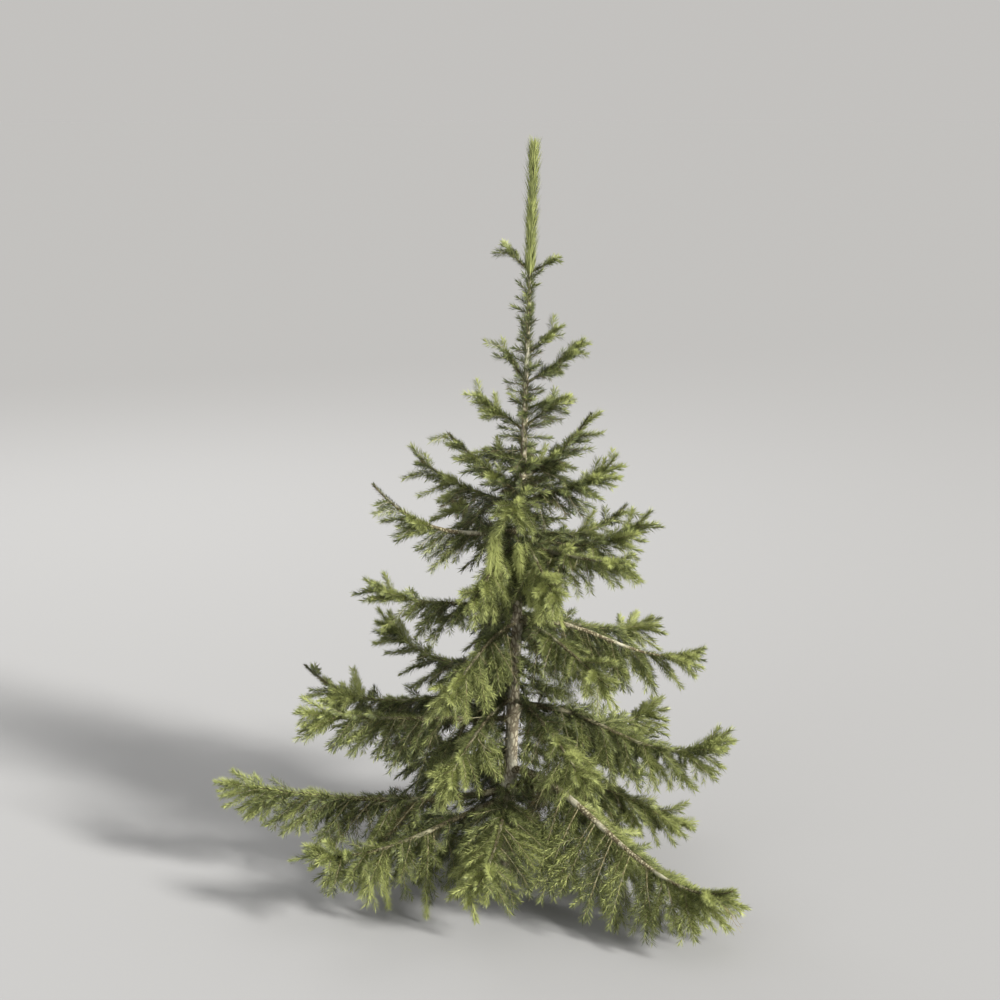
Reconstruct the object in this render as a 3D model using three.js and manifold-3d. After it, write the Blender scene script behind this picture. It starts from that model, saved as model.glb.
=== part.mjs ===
// A young spruce 2.2 m tall, rooted in level ground: a leaning trunk, drooping boughs in whorls, and a mass
// of needle-bearing shoots on each bough. Millimetres and degrees, +Z up, origin on the flat cut under the
// trunk. Azimuths are turned from +X towards +Y, so 270 points at a viewer who looks along +Y.
import * as THREE from "three";
import { mergeVertices } from "three/addons/utils/BufferGeometryUtils.js";
import Module from "manifold-3d";

const wasm = await Module();
wasm.setup();

// Trunk
const HEIGHT = 2200; // ground to the furthest needle tip of the leader
const TRUNK_TOP = 2160; // tip of the wood
const LEAN = 87; // sideways travel of the axis over the whole height
const LEAN_POWER = 0.75; // under 1: the foot leans most and the top straightens
const TRUNK_FOOT_RADIUS = 23; // where the root flare has died out
const TRUNK_TIP_RADIUS = 2.2;
const TAPER_POWER = 1.15;
const FLARE = 9; // how far the root flare stands out at the ground
const FLARE_HEIGHT = 45; // height over which the flare fades by a factor e
const FLARE_LOBES = 5;
const FLARE_LOBE_SHARE = 0.28;
const TRUNK_SIDES = 10;
const TRUNK_STEPS = 20;

// Clearance between touching pieces, and what foliage keeps to other pieces and to the ground
const GAP = 0.3;
const FREE = 0.8;
const GROUND_CLEARANCE = 6;

// Limbs, and the stems that carry them on through the foliage
const LIMB_ROOT_RADIUS = 2;
const LIMB_RADIUS_PER_REACH = 0.011;
const LIMB_TIP_RADIUS = 1.3;
const LIMB_TAPER_POWER = 0.8;
const LIMB_SIDES = 6;
const LIMB_STEP = 60;
const STEM_SIDES = 3;
const STEM_STEP = 110;
const STEM_END = 0.9; // share of the reach where the stem gives way to the end spray

// Side shoots along a bough, each a spray of needles
const SHOOT_PITCH = 66; // along a long bough
const SHOOT_PITCH_SHORT = 40; // along a bough shorter than SHORT_REACH
const SHORT_REACH = 300;
const FIRST_SHOOT_FROM_BARK = 26;
const LAST_SHOOT = 0.86; // share of the reach
const INNER_ANGLE = 72; // between bough and side shoot, near the trunk
const OUTER_ANGLE = 40; // and near the tip
const TIP_SHORTENING = 0.58; // how much shorter the last side shoots are
const SHINGLE_ANGLE = 24; // turn of a side shoot about its length: neighbours lie like shingles
const JITTER_ANGLE = 10;
const JITTER_LENGTH = 0.14;

// A spray is a toothed blade with a raised middle: each tooth stands for a twig of the side shoot. A side of
// its outline is given in shares of its length and of its half width.
const SPRAY_HALF_WIDTH = 0.2; // share of its length
const NEEDLE_REACH = 15; // no spray is narrower on either side than its needles make it
const SPRAY_HALF_THICKNESS = 7;
const SPRAY_MIDDLE = 0.3; // share of its length where it is thickest
const LONG_SPRAY = 100; // from this length on it has two teeth on each side
const LONG_SPRAY_SIDE = [[0.27, 1], [0.36, 0.42], [0.6, 0.78], [0.66, 0.26]];
const SHORT_SPRAY_SIDE = [[0.34, 1], [0.56, 0.5]];
const SHORTEST_SPRAY = 26;
const END_SPRAY_SHARE = 0.24; // length of the end spray as a share of the reach
const END_SPRAY_LEAST = 75;
const END_SPRAY_MOST = 150;

// Leader: a sleeve of bark and needles round the top of the trunk
const LEADER_FOOT = 1850;
const LEADER_SLEEVE = 2.4;
const LEADER_STEPS = 4;
const LEADER_NEEDLES = 28;
const NEEDLE_LENGTH = 46;
const NEEDLE_RADIUS = 2.8;
const NEEDLE_SPLAY = 22; // degrees off the stem
const GOLDEN_ANGLE = 137.5;

const BARK = new THREE.MeshStandardMaterial({ color: 0x5f5547, roughness: 0.9, metalness: 0 });
const NEEDLES = new THREE.MeshStandardMaterial({ color: 0x4e5a34, roughness: 0.7, metalness: 0 });

// Boughs, from the lowest whorl up. height is where the bough leaves the trunk's axis, reach its horizontal
// run to the tip. climb gives its height along the way, as shares of the reach that go with t, t^2 and t^3:
// out, down under its weight and up again to the light. bend swings it sideways with t^2. spread is the
// length of its longest side shoots, hang how many degrees they droop below the bough, and bare the share
// of the reach that is a limb of its own, clear of foliage.
const BOUGHS = [
  { name: "low_left", height: 280, azimuth: 183, reach: 880,
    climb: [-0.22, 0.41, -0.14], bend: 0.02, spread: 215, hang: 36, bare: 0.17 },
  { name: "low_front_left", height: 248, azimuth: 222, reach: 730,
    climb: [0.05, -0.54, 0.51], bend: -0.06, spread: 215, hang: 46, bare: 0.17 },
  { name: "low_front", height: 296, azimuth: 267, reach: 605,
    climb: [0.07, -0.57, 0.36], bend: -0.1, spread: 215, hang: 26, bare: 0.17 },
  { name: "low_front_right", height: 342, azimuth: 312, reach: 885,
    climb: [0.23, -1.46, 1.1], bend: 0.02, spread: 285, hang: 26, bare: 0.15 },
  { name: "low_right", height: 284, azimuth: 350, reach: 560,
    climb: [0.58, -1.36, 0.59], bend: 0.04, spread: 215, hang: 28, bare: 0.2 },
  { name: "low_back_right", height: 256, azimuth: 48, reach: 730,
    climb: [0.1, -0.34, 0.3], bend: 0.05, spread: 215, hang: 34, bare: 0.19 },
  { name: "low_back_left", height: 300, azimuth: 124, reach: 760,
    climb: [0.08, -0.3, 0.3], bend: -0.05, spread: 215, hang: 34, bare: 0.19 },
  { name: "second_right", height: 522, azimuth: 345, reach: 660,
    climb: [0.48, -2.05, 1.58], bend: 0.02, spread: 195, hang: 34, bare: 0.19 },
  { name: "second_back_right", height: 540, azimuth: 36, reach: 610,
    climb: [-0.06, -1.07, 0.99], bend: 0.04, spread: 185, hang: 32, bare: 0.2 },
  { name: "second_back", height: 522, azimuth: 96, reach: 570,
    climb: [0.1, -0.4, 0.35], bend: 0.04, spread: 185, hang: 38, bare: 0.21 },
  { name: "second_back_left", height: 548, azimuth: 157, reach: 700,
    climb: [0.2, -1.08, 0.95], bend: 0.02, spread: 190, hang: 34, bare: 0.19 },
  { name: "second_left", height: 498, azimuth: 196, reach: 660,
    climb: [0.1, -0.06, 0.08], bend: 0, spread: 190, hang: 60, bare: 0.17 },
  { name: "second_front_left", height: 560, azimuth: 240, reach: 430,
    climb: [0.1, -0.72, 0.2], bend: 0, spread: 175, hang: 48, bare: 0 },
  { name: "second_front", height: 555, azimuth: 296, reach: 450,
    climb: [0.2, -0.85, 0.3], bend: 0.06, spread: 180, hang: 44, bare: 0 },
  { name: "between_back_left", height: 655, azimuth: 150, reach: 510,
    climb: [-0.06, -0.3, 0.59], bend: -0.06, spread: 150, hang: 30, bare: 0 },
  { name: "third_right", height: 780, azimuth: 352, reach: 560,
    climb: [0.45, -1.76, 1.24], bend: 0.02, spread: 185, hang: 34, bare: 0.2 },
  { name: "third_back_right", height: 806, azimuth: 40, reach: 575,
    climb: [-0.13, -0.5, 0.45], bend: 0.02, spread: 170, hang: 38, bare: 0.21 },
  { name: "third_back", height: 778, azimuth: 94, reach: 500,
    climb: [0.1, -0.36, 0.34], bend: 0.04, spread: 170, hang: 40, bare: 0 },
  { name: "third_left", height: 805, azimuth: 187, reach: 455,
    climb: [0.63, -1.23, 0.92], bend: 0.02, spread: 160, hang: 36, bare: 0.23 },
  { name: "third_front_left", height: 790, azimuth: 236, reach: 415,
    climb: [0.1, -0.84, 0.34], bend: 0.02, spread: 160, hang: 56, bare: 0 },
  { name: "third_front_right", height: 800, azimuth: 308, reach: 430,
    climb: [0.1, -0.68, 0.3], bend: 0.03, spread: 170, hang: 50, bare: 0 },
  { name: "fourth_right", height: 1046, azimuth: 354, reach: 390,
    climb: [-0.07, -0.36, 0.7], bend: 0, spread: 145, hang: 34, bare: 0 },
  { name: "fourth_back_right", height: 1062, azimuth: 30, reach: 380,
    climb: [-0.14, -0.21, 0.5], bend: 0, spread: 140, hang: 34, bare: 0 },
  { name: "fourth_back_left", height: 1040, azimuth: 122, reach: 400,
    climb: [0.1, -0.3, 0.4], bend: 0.03, spread: 150, hang: 40, bare: 0 },
  { name: "fourth_left", height: 1066, azimuth: 194, reach: 445,
    climb: [0.01, -0.14, 0.53], bend: 0, spread: 135, hang: 56, bare: 0.28 },
  { name: "fourth_front_left", height: 1034, azimuth: 243, reach: 345,
    climb: [0, -0.6, 0.2], bend: 0, spread: 150, hang: 70, bare: 0 },
  { name: "fourth_front", height: 1048, azimuth: 287, reach: 335,
    climb: [0, -0.66, 0.3], bend: 0.02, spread: 155, hang: 74, bare: 0 },
  { name: "fourth_front_right", height: 1030, azimuth: 324, reach: 400,
    climb: [-0.12, 0.12, -0.02], bend: 0, spread: 140, hang: 42, bare: 0 },
  { name: "fifth_right", height: 1150, azimuth: 346, reach: 290,
    climb: [0.64, -1.14, 1.1], bend: 0, spread: 130, hang: 30, bare: 0 },
  { name: "fifth_right_high", height: 1222, azimuth: 12, reach: 215,
    climb: [0.53, 0.21, 0.21], bend: 0, spread: 120, hang: 26, bare: 0 },
  { name: "fifth_back", height: 1166, azimuth: 84, reach: 270,
    climb: [0.4, -0.3, 0.3], bend: 0, spread: 130, hang: 30, bare: 0 },
  { name: "fifth_back_left", height: 1136, azimuth: 158, reach: 350,
    climb: [0.33, -0.32, 0.42], bend: 0, spread: 130, hang: 44, bare: 0 },
  { name: "fifth_left_high", height: 1172, azimuth: 192, reach: 225,
    climb: [0.87, -0.16, 0.2], bend: 0, spread: 105, hang: 20, bare: 0 },
  { name: "fifth_front", height: 1160, azimuth: 262, reach: 225,
    climb: [0.3, -0.5, 0.2], bend: 0, spread: 120, hang: 44, bare: 0 },
  { name: "sixth_left", height: 1362, azimuth: 176, reach: 142,
    climb: [0.9, -0.3, 0.2], bend: 0, spread: 85, hang: 16, bare: 0 },
  { name: "sixth_left_low", height: 1266, azimuth: 148, reach: 135,
    climb: [0.45, -0.3, 0.1], bend: 0, spread: 85, hang: 26, bare: 0 },
  { name: "sixth_right", height: 1372, azimuth: 14, reach: 132,
    climb: [0.9, -0.3, 0.1], bend: 0, spread: 75, hang: 14, bare: 0 },
  { name: "seventh_right", height: 1502, azimuth: 356, reach: 176,
    climb: [0.6, 0, 0.2], bend: 0, spread: 62, hang: 10, bare: 0 },
  { name: "seventh_left", height: 1506, azimuth: 184, reach: 70,
    climb: [1.5, 0, 0.1], bend: 0, spread: 40, hang: 6, bare: 0 },
  { name: "seventh_right_high", height: 1582, azimuth: 16, reach: 96,
    climb: [0.8, 0, 0.05], bend: 0, spread: 42, hang: 8, bare: 0 },
  { name: "top_left", height: 1822, azimuth: 186, reach: 74,
    climb: [0.9, 0, 0.2], bend: 0, spread: 34, hang: 6, bare: 0 },
  { name: "top_right", height: 1818, azimuth: 2, reach: 76,
    climb: [0.5, 0, 0.1], bend: 0, spread: 0, hang: 0, bare: 0 },
];

const UP = new THREE.Vector3(0, 0, 1);

// A repeatable run of numbers between 0 and 1, from a whole number.
function seeded(start) {
  let state = start;
  return () => {
    state = (state * 48271) % 2147483647;
    return state / 2147483647;
  };
}

function radians(degrees) {
  return THREE.MathUtils.degToRad(degrees);
}

// The trunk's axis at a height.
function trunkAxis(z) {
  return new THREE.Vector3(LEAN * Math.pow(Math.max(z, 0) / HEIGHT, LEAN_POWER), 0, z);
}

// The trunk's radius at a height, without the root flare.
function trunkRadius(z) {
  const left = Math.min(1, Math.max(0, 1 - z / TRUNK_TOP));
  return TRUNK_TIP_RADIUS + (TRUNK_FOOT_RADIUS - TRUNK_TIP_RADIUS) * Math.pow(left, TAPER_POWER);
}

// The lobed root flare at a height and an angle round the trunk.
function rootFlare(z, angle) {
  const fade = Math.exp(-Math.max(z, 0) / FLARE_HEIGHT);
  return FLARE * fade * (1 + FLARE_LOBE_SHARE * Math.cos(FLARE_LOBES * angle));
}

// A closed upright body whose level rings follow the trunk's axis, grown by a margin all round.
function trunkGeometry(from, to, steps, margin) {
  const geometry = new THREE.CylinderGeometry(1, 1, 1, TRUNK_SIDES, steps);
  const position = geometry.getAttribute("position");
  for (let i = 0; i < position.count; i++) {
    const z = from + (position.getY(i) + 0.5) * (to - from);
    const angle = Math.atan2(-position.getZ(i), position.getX(i));
    const isCentre = Math.hypot(position.getX(i), position.getZ(i)) < 0.5;
    const radius = isCentre ? 0 : trunkRadius(z) + rootFlare(z, angle) + margin;
    const axis = trunkAxis(z);
    position.setXYZ(i, axis.x + radius * Math.cos(angle), axis.y + radius * Math.sin(angle), z);
  }
  return geometry;
}

// A bough's centreline at t, from 0 on the trunk's axis to 1 at its tip.
function boughPoint(bough, t) {
  const outward = new THREE.Vector3(Math.cos(radians(bough.azimuth)), Math.sin(radians(bough.azimuth)), 0);
  const sideways = new THREE.Vector3().crossVectors(UP, outward);
  const climb = bough.climb[0] * t + bough.climb[1] * t ** 2 + bough.climb[2] * t ** 3;
  return trunkAxis(bough.height)
    .addScaledVector(outward, bough.reach * t)
    .addScaledVector(sideways, bough.reach * bough.bend * t ** 2)
    .addScaledVector(UP, bough.reach * climb);
}

function boughRadius(bough, t) {
  const root = LIMB_ROOT_RADIUS + LIMB_RADIUS_PER_REACH * bough.reach;
  return LIMB_TIP_RADIUS + (root - LIMB_TIP_RADIUS) * Math.pow(Math.max(0, 1 - t), LIMB_TAPER_POWER);
}

// Forward, sideways and upward directions of a bough at t.
function boughFrame(bough, t) {
  const step = 0.01;
  const forward = boughPoint(bough, t + step).sub(boughPoint(bough, t - step)).normalize();
  const side = new THREE.Vector3().crossVectors(UP, forward).normalize();
  const up = new THREE.Vector3().crossVectors(forward, side);
  return { forward, side, up };
}

// A tapering limb from one share of the bough to another: a cylinder bent onto the centreline.
function limbGeometry(bough, from, to, sides, step) {
  const steps = Math.max(2, Math.round((bough.reach * (to - from)) / step));
  const geometry = new THREE.CylinderGeometry(1, 1, 1, sides, steps);
  const position = geometry.getAttribute("position");
  for (let i = 0; i < position.count; i++) {
    const t = from + (position.getY(i) + 0.5) * (to - from);
    const { side, up } = boughFrame(bough, t);
    const radius = boughRadius(bough, t);
    const point = boughPoint(bough, t)
      .addScaledVector(side, radius * position.getX(i))
      .addScaledVector(up, radius * -position.getZ(i));
    position.setXYZ(i, point.x, point.y, point.z);
  }
  return geometry;
}

// The outline of a spray, anticlockwise from its root at the origin to its tip on +X and back.
function sprayOutline(length) {
  const halfWidth = Math.max(NEEDLE_REACH, SPRAY_HALF_WIDTH * length);
  const side = length < LONG_SPRAY ? SHORT_SPRAY_SIDE : LONG_SPRAY_SIDE;
  const right = side.map(([x, y]) => [x * length, -y * halfWidth, 0]);
  const left = side.map(([x, y]) => [x * length, y * halfWidth, 0]).reverse();
  return [[0, 0, 0], ...right, [length, 0, 0], ...left];
}

// A toothed blade: its outline lies flat, and each edge of it joins two apexes above and below the middle.
function sprayGeometry(length) {
  const outline = sprayOutline(length);
  const middle = SPRAY_MIDDLE * length;
  const points = [...outline, [middle, 0, SPRAY_HALF_THICKNESS], [middle, 0, -SPRAY_HALF_THICKNESS]];
  const above = outline.length;
  const below = above + 1;
  const faces = outline.flatMap((_, i) => {
    const next = (i + 1) % outline.length;
    return [above, i, next, below, next, i];
  });
  const geometry = new THREE.BufferGeometry();
  geometry.setAttribute("position", new THREE.Float32BufferAttribute(points.flat(), 3));
  return geometry.setIndex(faces);
}

// Puts a piece's origin at a point, with its X along one direction and its Z towards another.
function placed(geometry, root, along, facing) {
  const x = along.clone().normalize();
  const y = new THREE.Vector3().crossVectors(facing, x).normalize();
  const z = new THREE.Vector3().crossVectors(x, y);
  return geometry.applyMatrix4(new THREE.Matrix4().makeBasis(x, y, z).setPosition(root));
}

// A closed three.js geometry as a solid.
function solid(geometry) {
  const bare = geometry.clone();
  bare.deleteAttribute("normal");
  bare.deleteAttribute("uv");
  const merged = mergeVertices(bare, 1e-3);
  const vertProperties = merged.getAttribute("position").array;
  const triVerts = new Uint32Array(merged.index.array);
  return new wasm.Manifold(new wasm.Mesh({ numProp: 3, vertProperties, triVerts }));
}

// A solid as a named mesh.
function meshOf(name, made, material) {
  const { vertProperties, triVerts } = made.getMesh();
  const geometry = new THREE.BufferGeometry();
  geometry.setAttribute("position", new THREE.BufferAttribute(vertProperties, 3));
  geometry.setIndex(new THREE.BufferAttribute(triVerts, 1));
  geometry.computeVertexNormals();
  const mesh = new THREE.Mesh(geometry, material);
  mesh.name = name;
  return mesh;
}

// The biggest shell of a fused solid, so sealed hollows are filled and loose scraps dropped.
function biggest(made) {
  return made.decompose().sort((a, b) => b.volume() - a.volume())[0];
}

// A solid that is already in the tree, with the bough it belongs to and its box.
function taken(owner, body) {
  return { owner, body, bounds: body.boundingBox() };
}

// Whether a solid stays clear of all the others, and above the ground.
function isFree(made, others) {
  const box = made.boundingBox();
  if (box.min[2] < GROUND_CLEARANCE) return false;
  const isApart = (bounds) =>
    [0, 1, 2].some((k) => box.min[k] > bounds.max[k] + FREE || box.max[k] < bounds.min[k] - FREE);
  return others.every(({ body, bounds }) => isApart(bounds) || made.minGap(body, 2 * FREE) > FREE);
}

// The side shoots of a bough by its seeded rule: on both sides in turn, the longest nearest the trunk.
function sideShoots(bough, random) {
  const clearOfBark = (trunkRadius(bough.height) + FIRST_SHOOT_FROM_BARK) / bough.reach;
  const first = Math.max(bough.bare + 0.015, Math.min(clearOfBark, LAST_SHOOT / 2));
  const pitch = bough.reach > SHORT_REACH ? SHOOT_PITCH : SHOOT_PITCH_SHORT;
  const count = 2 * Math.max(1, Math.round(((LAST_SHOOT - first) * bough.reach) / pitch));
  return Array.from({ length: count }, (_, k) => {
    const t = first + ((k + 0.3) / count) * (LAST_SHOOT - first);
    const hand = k % 2 ? 1 : -1;
    const angle = INNER_ANGLE + (OUTER_ANGLE - INNER_ANGLE) * t + JITTER_ANGLE * (2 * random() - 1);
    const hang = bough.hang + JITTER_ANGLE * (2 * random() - 1);
    const shortening = 1 - TIP_SHORTENING * t ** 1.5;
    const length = bough.spread * shortening * (1 + JITTER_LENGTH * (2 * random() - 1));
    return { t, hand, angle, hang, length };
  });
}

// A side shoot's direction, off the bough by its angle and down by its hang, and the way its flat side faces.
function shootDirection(bough, shoot) {
  const { forward, side, up } = boughFrame(bough, shoot.t);
  const across = side
    .clone()
    .multiplyScalar(shoot.hand * Math.cos(radians(shoot.hang)))
    .addScaledVector(up, -Math.sin(radians(shoot.hang)));
  const along = forward
    .clone()
    .multiplyScalar(Math.cos(radians(shoot.angle)))
    .addScaledVector(across, Math.sin(radians(shoot.angle)));
  const facing = new THREE.Vector3().crossVectors(across, forward).multiplyScalar(-shoot.hand);
  facing.applyAxisAngle(along, shoot.hand * radians(SHINGLE_ANGLE));
  return { along, facing };
}

// One side shoot as a solid. Where it would touch another piece it is turned flatter or shortened, and where
// that doesn't clear it either it is skipped.
function fittedSpray(bough, shoot, others) {
  const changes = [
    { share: 1, lift: 0 },
    { share: 1, lift: 20 },
    { share: 1, lift: -20 },
    { share: 0.75, lift: 0 },
    { share: 0.75, lift: 26 },
    { share: 0.5, lift: 8 },
  ];
  for (const { share, lift } of changes) {
    const length = share * shoot.length;
    if (length < SHORTEST_SPRAY) return null;
    const { along, facing } = shootDirection(bough, { ...shoot, hang: shoot.hang - lift });
    const made = solid(placed(sprayGeometry(length), boughPoint(bough, shoot.t), along, facing));
    if (isFree(made, others)) return made;
  }
  return null;
}

// The spray that carries a bough on to its tip.
function endSpray(bough) {
  const climb = bough.climb[0] + bough.climb[1] + bough.climb[2];
  const arc = bough.reach * Math.hypot(1, climb);
  const length = Math.min(END_SPRAY_MOST, Math.max(END_SPRAY_LEAST, END_SPRAY_SHARE * arc), 0.9 * arc);
  const start = 1 - length / arc;
  const along = boughPoint(bough, 1).sub(boughPoint(bough, start));
  const { up } = boughFrame(bough, start);
  return solid(placed(sprayGeometry(along.length()), boughPoint(bough, start), along, up));
}

// The stem and sprays of a bough, fused into one closed body.
function foliage(bough, index, stem, others) {
  const random = seeded(101 + 7919 * index);
  const foreign = others.filter((other) => other.owner !== bough.name);
  const shoots = bough.spread > 0 ? sideShoots(bough, random) : [];
  const sprays = shoots.map((shoot) => fittedSpray(bough, shoot, foreign)).filter(Boolean);
  return biggest(wasm.Manifold.union([stem, endSpray(bough), ...sprays]));
}

// One needle of the leader, standing out of its sleeve and up along the stem.
function leaderNeedle(index) {
  const around = radians(index * GOLDEN_ANGLE);
  const foot = LEADER_FOOT + 16;
  const z = foot + (index / LEADER_NEEDLES) * (TRUNK_TOP - foot);
  const length = Math.min(NEEDLE_LENGTH, HEIGHT - z);
  const outward = new THREE.Vector3(Math.cos(around), Math.sin(around), 0);
  const along = UP.clone()
    .multiplyScalar(Math.cos(radians(NEEDLE_SPLAY)))
    .addScaledVector(outward, Math.sin(radians(NEEDLE_SPLAY)));
  const needle = new THREE.ConeGeometry(NEEDLE_RADIUS, length, 3).rotateZ(-Math.PI / 2);
  const root = trunkAxis(z).addScaledVector(outward, trunkRadius(z) + 1);
  return solid(placed(needle.translate(length / 2, 0, 0), root, along, outward));
}

// The leader: a sleeve open at its foot and closed over the trunk's tip, its needles, and its bud.
function leader() {
  const budLength = HEIGHT - TRUNK_TOP;
  const bud = new THREE.ConeGeometry(3.4, budLength, 5).rotateX(Math.PI / 2);
  const top = trunkAxis(TRUNK_TOP);
  const outer = solid(trunkGeometry(LEADER_FOOT, TRUNK_TOP + 6, LEADER_STEPS, LEADER_SLEEVE));
  const inner = solid(trunkGeometry(0, TRUNK_TOP + 2 * GAP, TRUNK_STEPS, GAP));
  const needles = Array.from({ length: LEADER_NEEDLES }, (_, index) => leaderNeedle(index));
  const whole = [outer, solid(bud.translate(top.x, top.y, TRUNK_TOP + budLength / 2)), ...needles];
  return biggest(wasm.Manifold.union(whole).subtract(inner));
}

// The whole tree: trunk and leader, then the limbs and stems of all boughs, then the foliage round them.
function spruce() {
  const tree = new THREE.Group();
  const trunk = solid(trunkGeometry(0, TRUNK_TOP, TRUNK_STEPS, 0));
  const roomForTrunk = solid(trunkGeometry(0, TRUNK_TOP, TRUNK_STEPS, 1.3 * GAP));
  const leading = leader();
  tree.add(meshOf("trunk", trunk, BARK), meshOf("leader", leading, NEEDLES));

  const others = [taken("trunk", trunk), taken("leader", leading)];
  const stems = BOUGHS.map((bough) => {
    const stem = solid(limbGeometry(bough, bough.bare, STEM_END, STEM_SIDES, STEM_STEP));
    if (bough.bare === 0) return biggest(stem.subtract(roomForTrunk));
    const inner = limbGeometry(bough, 0, bough.bare - GAP / bough.reach, LIMB_SIDES, LIMB_STEP);
    const limb = biggest(solid(inner).subtract(roomForTrunk));
    tree.add(meshOf("limb_" + bough.name, limb, BARK));
    others.push(taken("limb of " + bough.name, limb));
    return stem;
  });
  stems.forEach((stem, index) => others.push(taken(BOUGHS[index].name, stem)));

  BOUGHS.forEach((bough, index) => {
    const mass = foliage(bough, index, stems[index], others);
    tree.add(meshOf("foliage_" + bough.name, mass, NEEDLES));
    others.push(taken(bough.name, mass));
  });
  return tree;
}

export default spruce();
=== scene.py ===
"""A young spruce, 2.2 m tall: trunk and boughs with scaly bark, twigs, and about 460,000 needles.

Lengths are in metres and angles in degrees. +Z is up, and the origin is the flat cut under the trunk. An
azimuth turns from +X towards +Y, so 270 points at the camera. The boughs follow the same cubic curves as the
solids, and their side shoots the same seeded rule, carried on to finer twigs. A range is the least and the
greatest value of something random, and a spread is the standard deviation of it.
"""
from __future__ import annotations

import logging
import math
from dataclasses import dataclass
from enum import Enum

import bpy
import numpy as np
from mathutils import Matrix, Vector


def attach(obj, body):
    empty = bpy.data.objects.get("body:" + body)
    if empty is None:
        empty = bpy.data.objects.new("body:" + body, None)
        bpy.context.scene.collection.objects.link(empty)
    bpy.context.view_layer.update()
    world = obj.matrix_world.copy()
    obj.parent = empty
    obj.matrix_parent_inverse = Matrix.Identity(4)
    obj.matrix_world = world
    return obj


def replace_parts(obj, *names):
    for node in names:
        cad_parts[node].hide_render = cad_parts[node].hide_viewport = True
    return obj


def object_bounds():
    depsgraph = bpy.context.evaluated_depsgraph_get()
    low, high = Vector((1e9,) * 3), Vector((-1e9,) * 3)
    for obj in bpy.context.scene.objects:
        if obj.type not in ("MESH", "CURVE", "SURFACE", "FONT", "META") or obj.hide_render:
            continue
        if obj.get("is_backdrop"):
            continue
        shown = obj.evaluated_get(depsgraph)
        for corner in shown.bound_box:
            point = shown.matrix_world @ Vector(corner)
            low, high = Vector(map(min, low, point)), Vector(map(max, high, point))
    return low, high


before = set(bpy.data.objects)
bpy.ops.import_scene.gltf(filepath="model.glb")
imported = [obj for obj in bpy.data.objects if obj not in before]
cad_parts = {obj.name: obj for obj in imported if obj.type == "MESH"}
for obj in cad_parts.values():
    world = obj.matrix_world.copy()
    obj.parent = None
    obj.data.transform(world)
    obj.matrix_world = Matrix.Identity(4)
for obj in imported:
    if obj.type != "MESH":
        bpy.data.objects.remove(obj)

Array = np.ndarray
Pair = tuple[float, float]
Triple = tuple[float, float, float]
log = logging.getLogger("spruce")

UP = np.array([0.0, 0.0, 1.0])
GOLDEN_ANGLE = math.radians(137.508)
MOST_TRIANGLES = 190_000  # of one joined piece
GROUND_CLEARANCE = 0.002  # a needle that reaches lower is left out
LOWEST_SHOOT = 0.012  # a shoot's path is held above this height
SHOOT_SEED = 20
NEEDLE_SEED = 7


class Tone(Enum):
    """The needles' colours, each with the least light of its needles: 0 is shaded and 1 is in full light."""

    FRESH = 0.80
    LIGHT = 0.62
    OLIVE = 0.44
    DEEP = 0.26
    SHADE = 0.06
    DRY = -9.0


@dataclass(frozen=True)
class NeedleFinish:
    """Waxy needle skin of one plain colour.

    Attributes:
        tone: Which of the needles' tones it is.
        colour: Base colour, linear red, green and blue.
        roughness: Roughness of the wax.
        shine: Its specular level.
    """

    tone: Tone
    colour: Triple
    roughness: float = 0.52
    shine: float = 0.42

    def material(self) -> bpy.types.Material:
        """Make the material, its values set on the shader's own sockets.

        Returns:
            The new material.
        """
        made, shader = shader_of("needles_" + self.tone.name.lower())
        shader.inputs["Base Color"].default_value = (*self.colour, 1.0)
        shader.inputs["Roughness"].default_value = self.roughness
        shader.inputs["Specular IOR Level"].default_value = self.shine
        return made


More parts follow.
